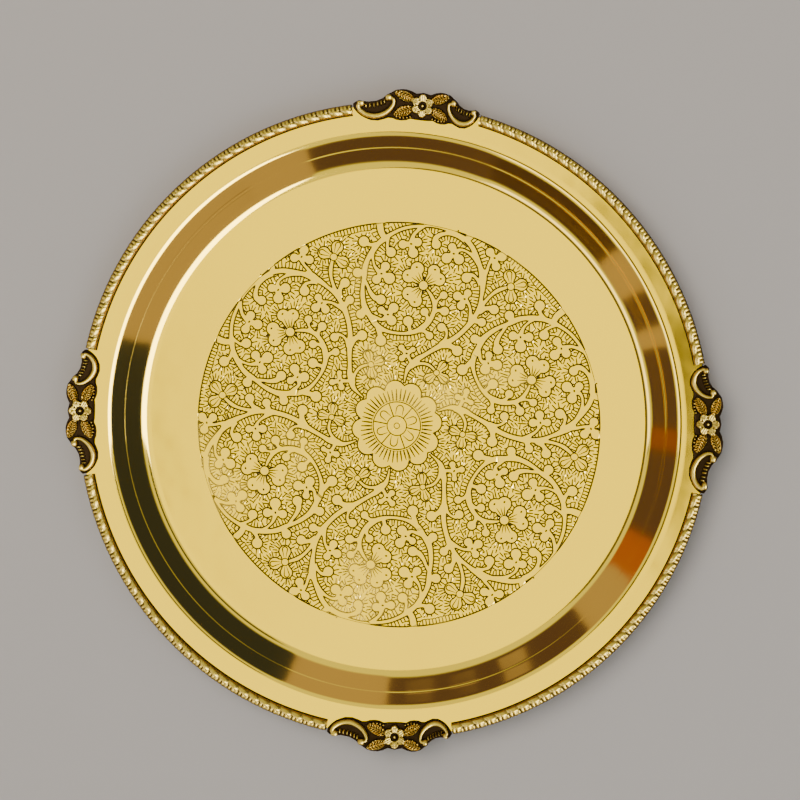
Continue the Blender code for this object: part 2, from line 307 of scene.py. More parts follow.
# %% Stems
STEMS = (
    # The main scroll, from the rosette out to the edge, over the top, and in to the flower.
    (
        (-0.3, 20.5, 0.5), (-0.3, 24.5, 0.85), (0.5, 28.0, 1.4), (3.6, 32.4, 1.5),
        (6.2, 34.7, 1.2), (8.6, 36.8, 1.15), (11.2, 39.1, 1.3), (14.6, 41.8, 1.6),
        (17.3, 43.9, 1.4), (19.5, 46.0, 1.35), (21.8, 48.7, 1.3), (23.9, 51.8, 1.35),
        (25.6, 54.8, 1.6), (26.7, 57.5, 1.25), (27.7, 60.2, 1.4), (28.1, 63.2, 1.3),
        (27.9, 66.5, 1.05), (27.8, 70.0, 1.3), (27.4, 73.0, 1.6), (26.7, 76.5, 2.0),
        (24.9, 80.0, 1.35), (22.4, 84.4, 1.35), (19.6, 88.4, 1.35), (16.0, 91.4, 1.3),
        (12.3, 92.9, 1.15), (9.0, 93.8, 0.9), (5.0, 94.4, 0.6), (0.0, 94.6, 0.5),
        (-5.0, 94.1, 0.75), (-9.5, 92.9, 0.95), (-13.0, 91.6, 1.0), (-16.0, 89.9, 1.0),
        (-19.0, 87.6, 1.1), (-22.0, 84.7, 1.45), (-24.4, 81.8, 1.35), (-26.3, 78.0, 1.5),
        (-27.8, 74.0, 1.3), (-28.4, 70.0, 1.45), (-27.9, 66.0, 1.25), (-27.9, 62.0, 1.05),
        (-27.3, 58.0, 1.3), (-26.5, 55.0, 1.35), (-25.2, 52.0, 1.6), (-22.2, 48.6, 1.45),
        (-18.7, 45.0, 1.5), (-14.5, 43.1, 1.2), (-10.0, 42.6, 0.95), (-5.0, 43.1, 0.95),
        (-1.5, 44.2, 1.2), (1.6, 45.9, 1.4), (4.3, 48.6, 1.6), (6.2, 51.5, 1.3),
        (7.1, 54.5, 1.25), (7.3, 57.5, 1.2), (6.4, 60.5, 1.15), (4.4, 63.3, 1.0), (2.0, 65.6, 0.6),
    ),
    # Side shoots outside the scroll.
    ((1.6, 30.2, 0.9), (0.3, 31.6, 1.0), (-1.5, 34.0, 1.1)),
    ((1.2, 27.6, 0.9), (3.4, 29.9, 1.0), (6.5, 31.0, 0.9), (9.8, 30.8, 0.9), (13.4, 28.6, 0.7)),
    ((13.8, 40.6, 1.2), (17.5, 41.5, 1.4), (21.0, 40.6, 1.5)),
    ((26.0, 55.3, 1.4), (30.0, 55.2, 1.4)),
    ((28.0, 59.2, 1.3), (31.0, 61.9, 1.2), (34.0, 62.4, 1.5)),
    (
        (28.6, 61.6, 1.0), (30.2, 65.2, 1.0), (32.4, 68.6, 0.95), (35.0, 71.2, 1.15),
        (38.8, 73.4, 0.9),
    ),
    ((27.4, 76.2, 1.2), (28.2, 79.5, 1.0), (28.6, 82.6, 0.9), (30.0, 85.6, 1.5)),
    ((16.0, 91.4, 1.3), (17.4, 93.2, 1.9), (17.8, 94.8, 1.9)),
    ((-17.6, 43.8, 1.3), (-15.6, 40.4, 1.4), (-14.9, 38.4, 1.8)),
    ((-25.2, 51.6, 1.0), (-26.2, 49.0, 1.6)),
    ((-28.2, 67.4, 1.5), (-31.0, 67.0, 1.6)),
    ((-24.4, 82.0, 1.2), (-28.0, 80.9, 1.1), (-30.8, 81.6, 1.6)),
    ((-21.8, 85.2, 1.4), (-23.8, 87.6, 1.7), (-25.0, 90.6, 1.8), (-25.3, 92.0, 1.6)),
    ((0.8, 45.2, 0.9), (4.2, 46.0, 1.0), (7.0, 44.9, 1.4)),
    # Side shoots inside the scroll.
    ((13.0, 41.8, 0.9), (14.9, 44.5, 0.85), (15.1, 47.2, 0.8), (14.0, 49.6, 1.0)),
    (
        (24.6, 54.2, 1.0), (24.4, 57.5, 1.05), (23.6, 60.8, 0.85), (22.0, 63.2, 1.0),
        (20.4, 64.4, 1.4),
    ),
    ((26.3, 71.8, 1.0), (24.6, 74.2, 0.9), (22.2, 75.9, 1.0), (19.5, 75.6, 1.2)),
    ((24.2, 80.6, 1.0), (21.0, 84.2, 1.1), (17.0, 86.2, 0.8), (14.0, 86.3, 1.0), (11.6, 84.4, 1.5)),
    (
        (15.5, 90.6, 1.0), (11.8, 92.2, 0.95), (7.5, 92.7, 0.95), (4.0, 91.7, 1.2),
        (1.9, 89.6, 1.5), (2.2, 87.2, 1.9),
    ),
    (
        (-4.2, 94.0, 0.7), (-6.6, 92.0, 0.95), (-8.4, 89.6, 1.0), (-8.9, 87.0, 1.3),
        (-9.0, 84.8, 1.6),
    ),
    ((-19.9, 86.9, 0.9), (-20.0, 83.6, 0.85), (-19.6, 80.8, 1.0), (-17.7, 79.4, 1.6)),
    (
        (-25.9, 78.0, 0.9), (-25.4, 74.8, 0.75), (-24.2, 71.8, 0.85), (-22.2, 69.8, 1.2),
        (-20.2, 68.4, 1.6),
    ),
    (
        (-28.0, 65.0, 0.9), (-26.0, 62.5, 0.85), (-24.0, 59.4, 1.15), (-21.2, 57.0, 1.5),
        (-18.6, 57.0, 1.8),
    ),
    ((-22.6, 48.6, 1.0), (-19.0, 48.0, 1.0), (-16.0, 47.6, 1.0), (-13.5, 49.8, 1.8)),
    ((-1.8, 44.2, 0.9), (-2.6, 46.2, 1.1), (-3.6, 48.5, 1.4)),
    ((2.6, 47.2, 1.0), (4.7, 50.4, 0.95), (4.5, 53.2, 0.9), (3.2, 54.8, 1.2)),
    ((7.6, 58.5, 0.8), (8.0, 61.4, 0.75), (9.4, 63.6, 1.0)),
    ((7.3, 55.0, 0.9), (9.0, 56.7, 1.0), (12.0, 57.0, 1.4)),
)
print("stems:", len(STEMS))

# %% Buds, trefoils and flowers
BUDS = (
    (21.4, 40.0, 2.7), (12.2, 49.3, 2.3), (30.2, 55.2, 2.3), (34.8, 62.1, 2.5), (19.4, 74.2, 2.6),
    (2.6, 86.8, 2.4), (-17.6, 79.3, 2.55), (-18.3, 56.7, 2.6), (-3.8, 49.2, 2.6), (3.0, 54.9, 2.2),
    (10.4, 64.2, 2.1), (12.2, 57.0, 2.35), (7.3, 44.4, 2.1), (-14.8, 37.9, 2.8), (-26.4, 48.2, 2.4),
    (-31.4, 67.0, 2.5), (-31.1, 81.8, 2.7),
)
# Each trefoil: its punched dot, then three lobes.
TREFOILS = (
    ((-1.7, 34.2), (-4.6, 36.4, 1.75), (0.9, 36.6, 1.55), (-3.5, 31.6, 1.75)),
    ((20.4, 64.3), (16.8, 65.1, 2.35), (21.3, 67.3, 2.05), (19.3, 61.0, 2.25)),
    ((11.5, 84.0), (10.2, 86.9, 2.2), (8.6, 81.4, 2.7), (14.4, 81.9, 2.6)),
    ((30.6, 85.6), (28.0, 87.9, 2.3), (33.8, 86.9, 2.5), (32.0, 81.9, 2.3)),
    ((-9.0, 84.8), (-12.8, 83.9, 2.3), (-7.3, 80.9, 2.6), (-6.2, 86.2, 2.3)),
    ((-20.2, 68.6), (-19.0, 72.3, 2.4), (-16.1, 67.2, 2.9), (-22.0, 65.5, 2.35)),
    ((-13.7, 50.4), (-17.2, 51.9, 2.0), (-11.6, 54.0, 2.6), (-11.5, 48.0, 2.6)),
)
# Each loop flower: its middle, the eye's radius, its petals' directions, their distance and radius.
LOOP_FLOWERS = (
    (40.5, 74.0, 1.75, (108, 20, -79), 5.0, 2.95),
    (13.8, 28.0, 1.4, (57, -27, -133), 4.5, 2.5),
)
# The large flower: its eye, and the pairs of lobes that make three heart-shaped petals.
LARGE_EYE = (0.2, 66.9, 2.2)
LARGE_PETALS = (
    ((3.9, 74.4, 3.1), (7.0, 71.0, 3.1)),
    ((-4.0, 74.0, 3.3), (-7.3, 70.0, 3.3)),
    ((-5.7, 61.9, 3.4), (-2.2, 59.3, 3.3)),
)
# The rosette round the tray's middle.
ROSETTE_LOBE = (16.5, 4.9, 13.5)
ROSETTE_RINGS = (1.3, 4.6, 11.2)
PATTERN_R = 95.0
PATTERN_REPEATS = 6
print("buds and trefoils:", len(BUDS), len(TREFOILS))

# %% [markdown]
# ## Turning the drawing into outlines
#
# The plain shapes overlap wherever a shoot leaves its stem, but the engraver cuts only round
# the outside of the whole. Constrained Delaunay triangulation finds that outside: it cuts the
# plane into triangles along every shape's edges, so that each triangle lies either wholly in
# a shape or wholly outside it, and its middle tells which. An edge with a covered triangle on
# one side only is part of the outline.

# %% Shapes as polygons
SECTOR = 2 * math.pi / PATTERN_REPEATS
SECTOR_START = math.pi / 2 - SECTOR / 2
# How far outside the sector a shape may lie and still reach cuts in it, in millimetres.
MARGIN = 7.0


def polar(radius, angle):
    """The point this far from the middle, in this direction."""
    return radius * math.cos(angle), radius * math.sin(angle)


def turned(points, turns):
    """These points turned about the middle by a number of sectors."""
    c, s = math.cos(turns * SECTOR), math.sin(turns * SECTOR)
    return [(c * p[0] - s * p[1], s * p[0] + c * p[1], *p[2:]) for p in points]


def beyond(point):
    """How far a point lies outside the sector, in millimetres; below 0 is inside."""
    c, s = math.cos(SECTOR / 2), math.sin(SECTOR / 2)
    return abs(point[0]) * c - point[1] * s


def smooth_path(points, step):
    """Points on a smooth curve through these ones, with their half widths, about a step apart."""
    given = np.array(points, float)
    given = np.vstack([2 * given[0] - given[1], given, 2 * given[-1] - given[-2]])
    found = []
    for a, b, c, d in zip(given, given[1:], given[2:], given[3:]):
        count = max(1, math.ceil(np.linalg.norm(c[:2] - b[:2]) / step))
        for t in np.arange(count) / count:
            squared, cubed = 2 * a - 5 * b + 4 * c - d, 3 * b - a - 3 * c + d
            found.append(0.5 * (2 * b + (c - a) * t + squared * t**2 + cubed * t**3))
    return np.array([*found, given[-2]])


def sides(path, half_width):
    """The path's two edges, half_width to its left and right."""
    along = np.gradient(path, axis=0)
    along /= np.maximum(np.linalg.norm(along, axis=1), 1e-9)[:, None]
    across = np.stack([-along[:, 1], along[:, 0]], 1) * np.reshape(half_width, (-1, 1))
    return path + across, path - across


def circle(x, y, radius, count=24):
    """A circle as a polygon."""
    angles = [2 * math.pi * i / count for i in range(count)]
    return [(x + radius * math.cos(a), y + radius * math.sin(a)) for a in angles]


def arc(x, y, radius, start, end, count):
    """Points along an arc, its angles in degrees."""
    angles = np.radians(np.linspace(start, end, count))
    return [(x + radius * math.cos(a), y + radius * math.sin(a)) for a in angles]


def stem_polygons(points):
    """A stem as a row of four-sided pieces, which can't fold over each other in a tight bend."""
    path = smooth_path(points, 1.1)
    left, right = sides(path[:, :2], path[:, 2])
    pieces = []
    for i in range(len(path) - 1):
        piece = [tuple(right[i]), tuple(right[i + 1]), tuple(left[i + 1]), tuple(left[i])]
        turns = [
            (piece[j - 1][0] - piece[j - 2][0]) * (piece[j][1] - piece[j - 1][1])
            - (piece[j - 1][1] - piece[j - 2][1]) * (piece[j][0] - piece[j - 1][0])
            for j in range(4)
        ]
        if min(turns) > 0:
            pieces.append(piece)
    return pieces


plain_shapes = [piece for stem in STEMS for piece in stem_polygons(stem)]
plain_shapes += [circle(*bud) for bud in BUDS]
for (x, y), *lobes in TREFOILS:
    for lobe in lobes:
        plain_shapes += stem_polygons([(x, y, 1.4), (*lobe[:2], lobe[2] * 0.7)])
        plain_shapes.append(circle(*lobe))
    plain_shapes.append(circle(x, y, 1.5))
for x, y, eye, directions, distance, radius in LOOP_FLOWERS:
    plain_shapes.append(circle(x, y, eye + 0.4))
    for direction in directions:
        a = math.radians(direction)
        tip = (x + distance * math.cos(a), y + distance * math.sin(a))
        plain_shapes += stem_polygons([(x, y, 0.9), (*tip, radius * 0.96)])
        plain_shapes.append(circle(*tip, radius))
plain_shapes.append(circle(*LARGE_EYE[:2], LARGE_EYE[2] + 0.3))
for petal in LARGE_PETALS:
    middle = (np.mean([lobe[0] for lobe in petal]), np.mean([lobe[1] for lobe in petal]))
    plain_shapes += stem_polygons([(*LARGE_EYE[:2], 0.9), (*middle, 4.4)])
    plain_shapes += [circle(*lobe) for lobe in petal]
for side in (-1, 1):
    lobe = polar(ROSETTE_LOBE[0], math.radians(90 + side * ROSETTE_LOBE[2]))
    plain_shapes.append(circle(*lobe, ROSETTE_LOBE[1], 36))
plain_shapes.append([(0, 0), *arc(0, 0, ROSETTE_LOBE[0], 60, 120, 16)])
# Outside the pattern all is plain: a ring of plates stands for it.
PLATES = 40
near, far = PATTERN_R, PATTERN_R + 3.0
for i in range(PLATES):
    a, b = (SECTOR_START + SECTOR * (i + j) / PLATES for j in (0, 1))
    plain_shapes.append([polar(near, a), polar(far, a), polar(far, b), polar(near, b)])
shapes_near = []
for turns in range(PATTERN_REPEATS):
    for shape in plain_shapes:
        moved = turned(shape, turns)
        if min(beyond(p) for p in moved) < MARGIN:
            shapes_near.append([p[:2] for p in moved])
print("shapes in and round one sector:", len(shapes_near))

# %% The outline of them all


def lies_in(points, shape):
    """Which of these points lie in a shape without hollows, its corners given anticlockwise."""
    corners = np.array(shape)
    low, high = corners.min(0), corners.max(0)
    inside = np.all((points > low) & (points < high), axis=1)
    near = points[inside]
    held = np.ones(len(near), bool)
    for a, b in zip(corners, np.roll(corners, -1, axis=0)):
        held &= (b[0] - a[0]) * (near[:, 1] - a[1]) > (b[1] - a[1]) * (near[:, 0] - a[0])
    inside[inside] = held
    return inside


def outline_of(shapes):
    """Closed loops round the union of these polygons, with the covered side on their left."""
    points, faces = [], []
    for shape in shapes:
        faces.append(list(range(len(points), len(points) + len(shape))))
        points += [Vector(p) for p in shape]
    verts, _, triangles, *_ = delaunay_2d_cdt(points, [], faces, 0, 1e-5)
    corners = np.array(verts)[np.array(triangles)]
    middles = corners.mean(1)
    covered = np.zeros(len(middles), bool)
    for shape in shapes:
        covered |= lies_in(middles, shape)
    edges = set()
    for (a, b, c), is_covered in zip(triangles, covered):
        if is_covered:
            edges |= {(a, b), (b, c), (c, a)}
    after = {}
    for a, b in edges:
        if (b, a) not in edges:
            after.setdefault(a, []).append(b)
    loops = []
    while after:
        start = min(after)
        loop, here = [], start
        while here in after:
            loop.append(here)
            following = after[here].pop()
            if not after[here]:
                del after[here]
            here = following
        loops.append(np.array([verts[i] for i in loop]))
    return loops


def tidy_loop(loop, least=0.35):
    """The loop without points that are nearly on top of the one before."""
    kept = [loop[0]]
    for point in loop[1:]:
        if np.linalg.norm(point - kept[-1]) > least:
            kept.append(point)
    return np.array(kept)


loops = [tidy_loop(loop) for loop in outline_of(shapes_near)]
loops = [loop for loop in loops if len(loop) > 5]
print("outline loops:", len(loops), "points:", sum(len(loop) for loop in loops))

# %% [markdown]
# ## The graver's cuts
#
# A graver pushed through brass leaves a V-shaped cut, and the harder it is pushed the wider
# and deeper the cut is. So a cut is a line of points with a half width at each, and its depth
# follows from that width. The outline is cut first. Then short cuts go out from it into the
# ground, side by side, each until it meets the other bank or the middle of a wide stretch.
# Where the ends of such cuts meet in the middle, a thin seam joins them.

# %% Points along the outline
# The pitch and greatest length of the short cuts, and the half width of each kind of cut.
TICK_PITCH = 1.62
TICK_LONG = 2.8
TICK_HALF = 0.33
OUTLINE_HALF = 0.34
SEAM_HALF = 0.22


def along_loop(loop, step):
    """Points a step apart round a closed loop, each with its direction to the right of the way."""
    ends = np.roll(loop, -1, axis=0)
    lengths = np.linalg.norm(ends - loop, axis=1)
    reached = np.concatenate([[0], np.cumsum(lengths)])
    found = []
    for s in np.arange(0, reached[-1], step):
        i = min(np.searchsorted(reached, s, side="right") - 1, len(loop) - 1)
        way = (ends[i] - loop[i]) / max(lengths[i], 1e-9)
        found.append((*(loop[i] + way * (s - reached[i])), way[1], -way[0]))
    return np.array(found)


bank = np.vstack([along_loop(loop, 0.2) for loop in loops])
bank = bank[np.hypot(bank[:, 0], bank[:, 1]) < PATTERN_R + 0.3]
bank_tree = KDTree(len(bank))
for i, point in enumerate(bank):
    bank_tree.insert((point[0], point[1], 0), i)
bank_tree.balance()
print("points along the outline:", len(bank))

# %% Short cuts into the ground
# How far apart the places are where a cut's way is looked at, and how near other cuts may be:
# ones that run beside it, and ones that it meets.
LOOK_STEP = 0.15
BESIDE_GAP = 1.0
MEETING_GAP = 0.25
LEAST_TICK = 0.8
# A row for each point that a short cut passes: its place, then the cut's direction.
taken = np.empty((0, 4))


def cut_length(root, way):
    """How far a short cut may go, and whether it stopped in the middle of the ground."""
    middle = None
    for t in np.arange(0.45, 3.5, LOOK_STEP):
        point = root + way * t
        gap = bank_tree.find((*point, 0))[2]
        if middle is None and gap < t - 0.2:
            middle = t
        if gap < OUTLINE_HALF + 0.1:
            return t, False
    if middle is not None and middle < TICK_LONG:
        return middle, True
    return TICK_LONG, True


def clear_length(root, way, length):
    """How far a cut may go: it keeps off cuts that run its way, and ends on ones that cross."""
    for t in np.arange(0.5, length + 0.01, LOOK_STEP):
        gaps = np.hypot(*(taken[:, :2] - root - way * t).T)
        if np.any((gaps < BESIDE_GAP) & (np.abs(taken[:, 2:] @ way) > 0.7)):
            return t - 0.45
        if len(gaps) and gaps.min() < MEETING_GAP:
            return t
    return length


def take(points, way):
    """Notes that a cut runs here, with its direction, in this sector and in its neighbours."""
    global taken
    for turns in (-1, 0, 1):
        ways = np.repeat(turned([way], turns), len(points), axis=0)
        taken = np.vstack([taken, np.hstack([np.array(turned(points, turns)), ways])])


ticks, seams = [], []
for loop in loops:
    last_end = None
    for x, y, dx, dy in along_loop(loop, TICK_PITCH):
        root, way = np.array([x, y]), np.array([dx, dy])
        if beyond(root) > 0 or math.hypot(x, y) > PATTERN_R + 0.2:
            last_end = None
            continue
        wanted, in_middle = cut_length(root, way)
        length = clear_length(root, way, wanted)
        if length < LEAST_TICK:
            last_end = None
            continue
        end = root + way * length
        ticks.append((root + way * (OUTLINE_HALF + 0.02), end))
        take([root + way * t for t in np.arange(0.5, length + 0.01, 0.3)], way)
        if in_middle and length == wanted:
            if last_end is not None and 0.5 < np.linalg.norm(end - last_end) < 2.4:
                seams.append((last_end, end))
            last_end = end
        else:
            last_end = None
print("short cuts:", len(ticks), "seams:", len(seams))

# %% More short cuts where the ground is still bare
BARE_FROM_BANK = 0.6
BARE_FROM_CUTS = 0.95
LEAST_REACH = 0.9


def is_clear(point):
    """Whether a new cut may pass here: off the outline, and a step away from other cuts."""
    if bank_tree.find((*point, 0))[2] <= BARE_FROM_BANK:
        return False
    return np.min(np.hypot(*(taken[:, :2] - point).T)) > BARE_FROM_CUTS


def in_ground(where):
    """Which of these points lie in the ground, which no plain shape covers."""
    result = np.hypot(where[:, 0], where[:, 1]) < PATTERN_R
    for shape in shapes_near:
        result &= ~lies_in(where, shape)
    return result


first_ticks = len(ticks)
GRID = 0.6
rows, columns = np.arange(14, PATTERN_R, GRID), np.arange(-48, 48, GRID)
candidates = np.array([(x, y) for y in rows for x in columns])
candidates = candidates[[beyond(p) < 0 for p in candidates]]
for point in candidates[in_ground(candidates)]:
    if not is_clear(point):
        continue
    way = bank[bank_tree.find((*point, 0))[1]][2:]
    reach = []
    for side in (-1, 1):
        t = 0.2
        while t < 1.7 and bank_tree.find((*(point + side * way * t), 0))[2] > OUTLINE_HALF:
            t += LOOK_STEP
        reach.append(clear_length(point, side * way, t))
    if sum(reach) > LEAST_REACH:
        ticks.append((point - way * reach[0], point + way * reach[1]))
        take([point + way * t for t in np.arange(-reach[0], reach[1] + 0.01, 0.3)], way)
print("more short cuts:", len(ticks) - first_ticks)

# %% [markdown]
# ## Cuts inside the plain shapes
#
# Petals have veins, the loop flowers have a loop in each petal, trefoils have a punched dot,
# and the rosette has its rays, rings and arches.

# %% Cuts inside the shapes
PUNCH_HALF = 0.42
inside_cuts = []


def cut(points, half, ends=(1.0, 1.0)):
    """Adds one open cut, its half width drawn in at each end by a share."""
    path = np.array(points, float)
    widths = np.full(len(path), half, float)
    widths[0] *= ends[0]
    widths[-1] *= ends[1]
    inside_cuts.append((path, widths))


def punch(x, y, half_length):
    """Adds a punched dot."""
    cut([(x - half_length, y), (x + half_length, y)], PUNCH_HALF)


for (x, y), *_ in TREFOILS:
    punch(x, y, 0.28)
for petal in LARGE_PETALS:
    for x, y, radius in petal:
        away = np.array([x - LARGE_EYE[0], y - LARGE_EYE[1]])
        away /= np.linalg.norm(away)
        punch(x + away[0] * 0.8, y + away[1] * 0.8, 0.25)
    middle = np.mean([lobe[:2] for lobe in petal], axis=0) - LARGE_EYE[:2]
    direction = math.degrees(math.atan2(middle[1], middle[0]))
    for lean, reach in ((-34, 5.6), (-17, 6.4), (0, 5.8), (17, 6.6), (34, 5.6)):
        way = np.array(polar(1.0, math.radians(direction + lean)))
        eye = np.array(LARGE_EYE[:2])
        cut([eye + way * 2.6, eye + way * reach * 0.7, eye + way * reach], 0.24, (1.2, 0.4))
cut(arc(*LARGE_EYE[:2], 2.25, 0, 360, 25), 0.27)
for x, y, eye, directions, distance, radius in LOOP_FLOWERS:
    cut(arc(x, y, eye, 0, 360, 19), 0.24)
    for direction in directions:
        way = np.array(polar(1.0, math.radians(direction)))
        across = np.array([-way[1], way[0]])
        top = np.array([x, y]) + way * (distance + 0.35 * radius)
        bends = np.linspace(0, math.pi, 9)
        bend = [top + 0.42 * radius * (across * math.cos(b) + way * math.sin(b)) for b in bends]
        foot = np.array([x, y]) + way * (eye + 0.5)
        cut([foot + across * 0.45, *bend, foot - across * 0.45], 0.28, (0.4, 0.4))
for radius, half in zip(ROSETTE_RINGS, (0.2, 0.24, 0.27)):
    cut(arc(0, 0, radius, 60, 120, 13 if radius > 2 else 5), half)
cut(arc(0, 0, ROSETTE_RINGS[2] + 0.9, 60, 120, 13), 0.1)
cut(arc(0, 0, PATTERN_R, 60, 120, 41), 0.14)
cut([polar(5.0, SECTOR_START), polar(10.9, SECTOR_START)], 0.27)
arch = [(1.6, 5.2), (1.65, 8.2), *arc(0, 8.2, 1.6, 0, 180, 7)[1:-1], (-1.65, 8.2), (-1.6, 5.2)]
cut(arch, 0.26, (0.4, 0.4))
RAYS = 8
for i in range(RAYS):
    way = np.array(polar(1.0, SECTOR_START + SECTOR * (i + 0.5) / RAYS))
    reach = 17.6 - 0.28 * abs(i - (RAYS - 1) / 2)
    cut([way * 11.9, way * 13.5, way * reach], 0.40, (0.7, 0.5))
print("cuts inside the shapes:", len(inside_cuts))

# %% [markdown]
# ## Cutting the sector
#
# The same triangulation now makes the surface. Each cut gives it three lines: its two banks,
# and its bottom. Wherever cuts cross, it adds the crossing points. Then every point sinks to
# the depth of the deepest cut it lies in. The flat metal between keeps few, large triangles.
# A corner attribute marks the cuts, so that their stain stops sharply at their banks.

# %% Every cut as a line with half widths
CUT_SLOPE = 0.5
DISC_R = PATTERN_R + 1.0
DISC_STEPS = 40


def runs_in_sector(loop):
    """The stretches of a closed loop that lie in the sector, or a little way past its sides."""
    run = []
    for point in (*loop, loop[0], None):
        if point is not None and beyond(point) < 1.5 and math.hypot(*point) < PATTERN_R + 0.6:
            run.append(point)
            continue
        if len(run) > 1:
            yield np.array(run)
        run = []


cuts = [
    (run, np.full(len(run), OUTLINE_HALF), (False, False))
    for loop in loops
    for run in runs_in_sector(loop)
]
outline_count = len(cuts)
repeated = [(np.array(tick), np.array([1.0, 0.75]) * TICK_HALF, (False, True)) for tick in ticks]
repeated += [(np.array(seam), np.full(2, SEAM_HALF), (False, False)) for seam in seams]
repeated += [(path, widths, (True, True)) for path, widths in inside_cuts]
for turns in (-1, 0, 1):
    for path, widths, capped in repeated:
        moved = np.array(turned(path, turns))
        if min(beyond(p) for p in moved) < 0.6:
            cuts.append((moved, widths, capped))
print("cuts:", len(cuts), "of which outline:", outline_count)

# %% Triangulate one sector
points, edges = [], []


def add_line(line, closed=False):
    """Adds a line's points and edges to what is triangulated."""
    start = len(points)
    points.extend(Vector(p) for p in line)
    edges.extend((start + i, start + i + 1) for i in range(len(line) - 1))
    if closed:
        edges.append((start + len(line) - 1, start))


for path, widths, capped in cuts:
    add_line(path)
    left, right = sides(path, widths)
    banks = [*left, *right[::-1]]
    if capped[1]:
        way = (path[-1] - path[-2]) / np.linalg.norm(path[-1] - path[-2])
        banks.insert(len(left), path[-1] + way * widths[-1])
    if capped[0]:
        way = (path[0] - path[1]) / np.linalg.norm(path[0] - path[1])
        banks.insert(0, path[0] + way * widths[0])
    add_line(banks, closed=True)
edge_of_disc = arc(0, 0, DISC_R, 60, 120, DISC_STEPS + 1)
wedge = [(0.0, 0.0), *edge_of_disc]
add_line(wedge, closed=True)
verts, _, triangles, *_ = delaunay_2d_cdt(points, edges, [], 0, 1e-4)
flat = np.array(verts)
triangles = np.array(triangles)
triangles = triangles[lies_in(flat[triangles].mean(1), wedge)]
used, triangles = np.unique(triangles, return_inverse=True)
triangles = triangles.reshape(-1, 3)
flat = flat[used]
print("sector:", len(flat), "points,", len(triangles), "triangles")

# %% Sink the cuts


def depth_at(where):
    """How deep the cuts are at these points, in millimetres."""
    starts = np.vstack([path[:-1] for path, *_ in cuts])
    ends = np.vstack([path[1:] for path, *_ in cuts])
    w0 = np.concatenate([widths[:-1] for _, widths, _ in cuts])
    w1 = np.concatenate([widths[1:] for _, widths, _ in cuts])
    ways = ends - starts
    squared = np.maximum(np.sum(ways**2, axis=1), 1e-12)
    deepest = np.zeros(len(where))
    for i in range(0, len(where), 400):
        offset = where[i : i + 400, None] - starts[None]
        share = np.clip(np.sum(offset * ways, axis=2) / squared, 0, 1)
        gap = np.linalg.norm(offset - share[..., None] * ways, axis=2)
        deepest[i : i + 400] = np.max(w0 + (w1 - w0) * share - gap, axis=1)
    return CUT_SLOPE * np.clip(deepest, 0, None)


SHALLOWEST = 0.004
GROUND_DEPTH, GROUND_RIPPLE = 0.03, 0.012
RIM_WIDTH = 0.15
depth = depth_at(flat)
depth[depth < SHALLOWEST] = 0

# The ground is hammered down a little, and unevenly, so that its facets glint.
sunk = in_ground(flat)
inner = np.array([beyond(p) < -0.05 for p in flat])
x, y = flat.T
ripple = GROUND_RIPPLE * np.sin(x * 2.9 + 1.3 * y) * np.cos(y * 3.7 - x)
height = -depth - np.where(sunk, GROUND_DEPTH + np.where(inner, ripple, 0), 0)
# The disc's rim stays level, so that it meets the plain sheet round it.
height[np.linalg.norm(flat, axis=1) > DISC_R - RIM_WIDTH] = 0
print("deepest cut in mm:", round(float(depth.max()), 3), "ground points:", int(sunk.sum()))

# %% The sector as a mesh
SECTOR_UP = math.radians(79.4 - 90.0)
PATTERN_MM = 0.9926 * MM


def make_mesh(name, verts, faces, edges=(), material=None):
    """A mesh of these points, faces and edges, in one material."""
    made = bpy.data.meshes.new(name)
    made.from_pydata(verts, list(edges), faces)
    if material:
        made.materials.append(material)
    return made


def store(mesh, name, values, kind="FLOAT", domain="POINT"):
    """Stores an attribute on the mesh, one value for each point or corner."""
    key = "color" if kind == "FLOAT_COLOR" else "value"
    attribute = mesh.attributes.new(name, kind, domain)
    attribute.data.foreach_set(key, np.array(values, np.float32).ravel())


sector_verts = [(x * PATTERN_MM, y * PATTERN_MM, z * MM) for (x, y), z in zip(flat, height)]
sector_mesh = make_mesh("engraved_sector", sector_verts, triangles.tolist())
middles = flat[triangles].mean(1)
STAIN_AT_BANK, DARKEST_DEPTH = 0.93, 0.11
cut_faces = depth_at(middles) > 2 * SHALLOWEST
deep = np.clip(depth[triangles] / DARKEST_DEPTH, 0, 1)
stain_at = np.where(cut_faces[:, None], STAIN_AT_BANK + (1 - STAIN_AT_BANK) * deep, 0.0)
ground_faces = in_ground(middles) & ~cut_faces
store(sector_mesh, "patina", stain_at, domain="CORNER")
store(sector_mesh, "ground", np.repeat(ground_faces, 3), domain="CORNER")
sector = bpy.data.objects.new("engraved_sector", sector_mesh)
print("faces in cuts:", int(cut_faces.sum()), "faces of ground:", int(ground_faces.sum()))

# %% [markdown]
# ## Running a geometry tree
#
# Three things here repeat or follow a rule, so a Geometry Nodes tree makes each of them: the
# engraved sector round the middle, the spun sheet round its axis, and the border's lobes along
# the rim. One helper puts a tree on an empty mesh, fills its named inputs, and keeps the result
# as a plain mesh, with no modifier left on it.

# %% Helpers for geometry trees


def new_tree(name, **kinds):
    """A geometry tree with these named inputs, and what its input node gives out."""
    made = bpy.data.node_groups.new(name, "GeometryNodeTree")
    for key, kind in kinds.items():
        label = key.replace("_", " ").title()
        made.interface.new_socket(label, in_out="INPUT", socket_type=f"NodeSocket{kind}")
    made.interface.new_socket("Geometry", in_out="OUTPUT", socket_type="NodeSocketGeometry")
    return made, add_node(made, "NodeGroupInput").outputs


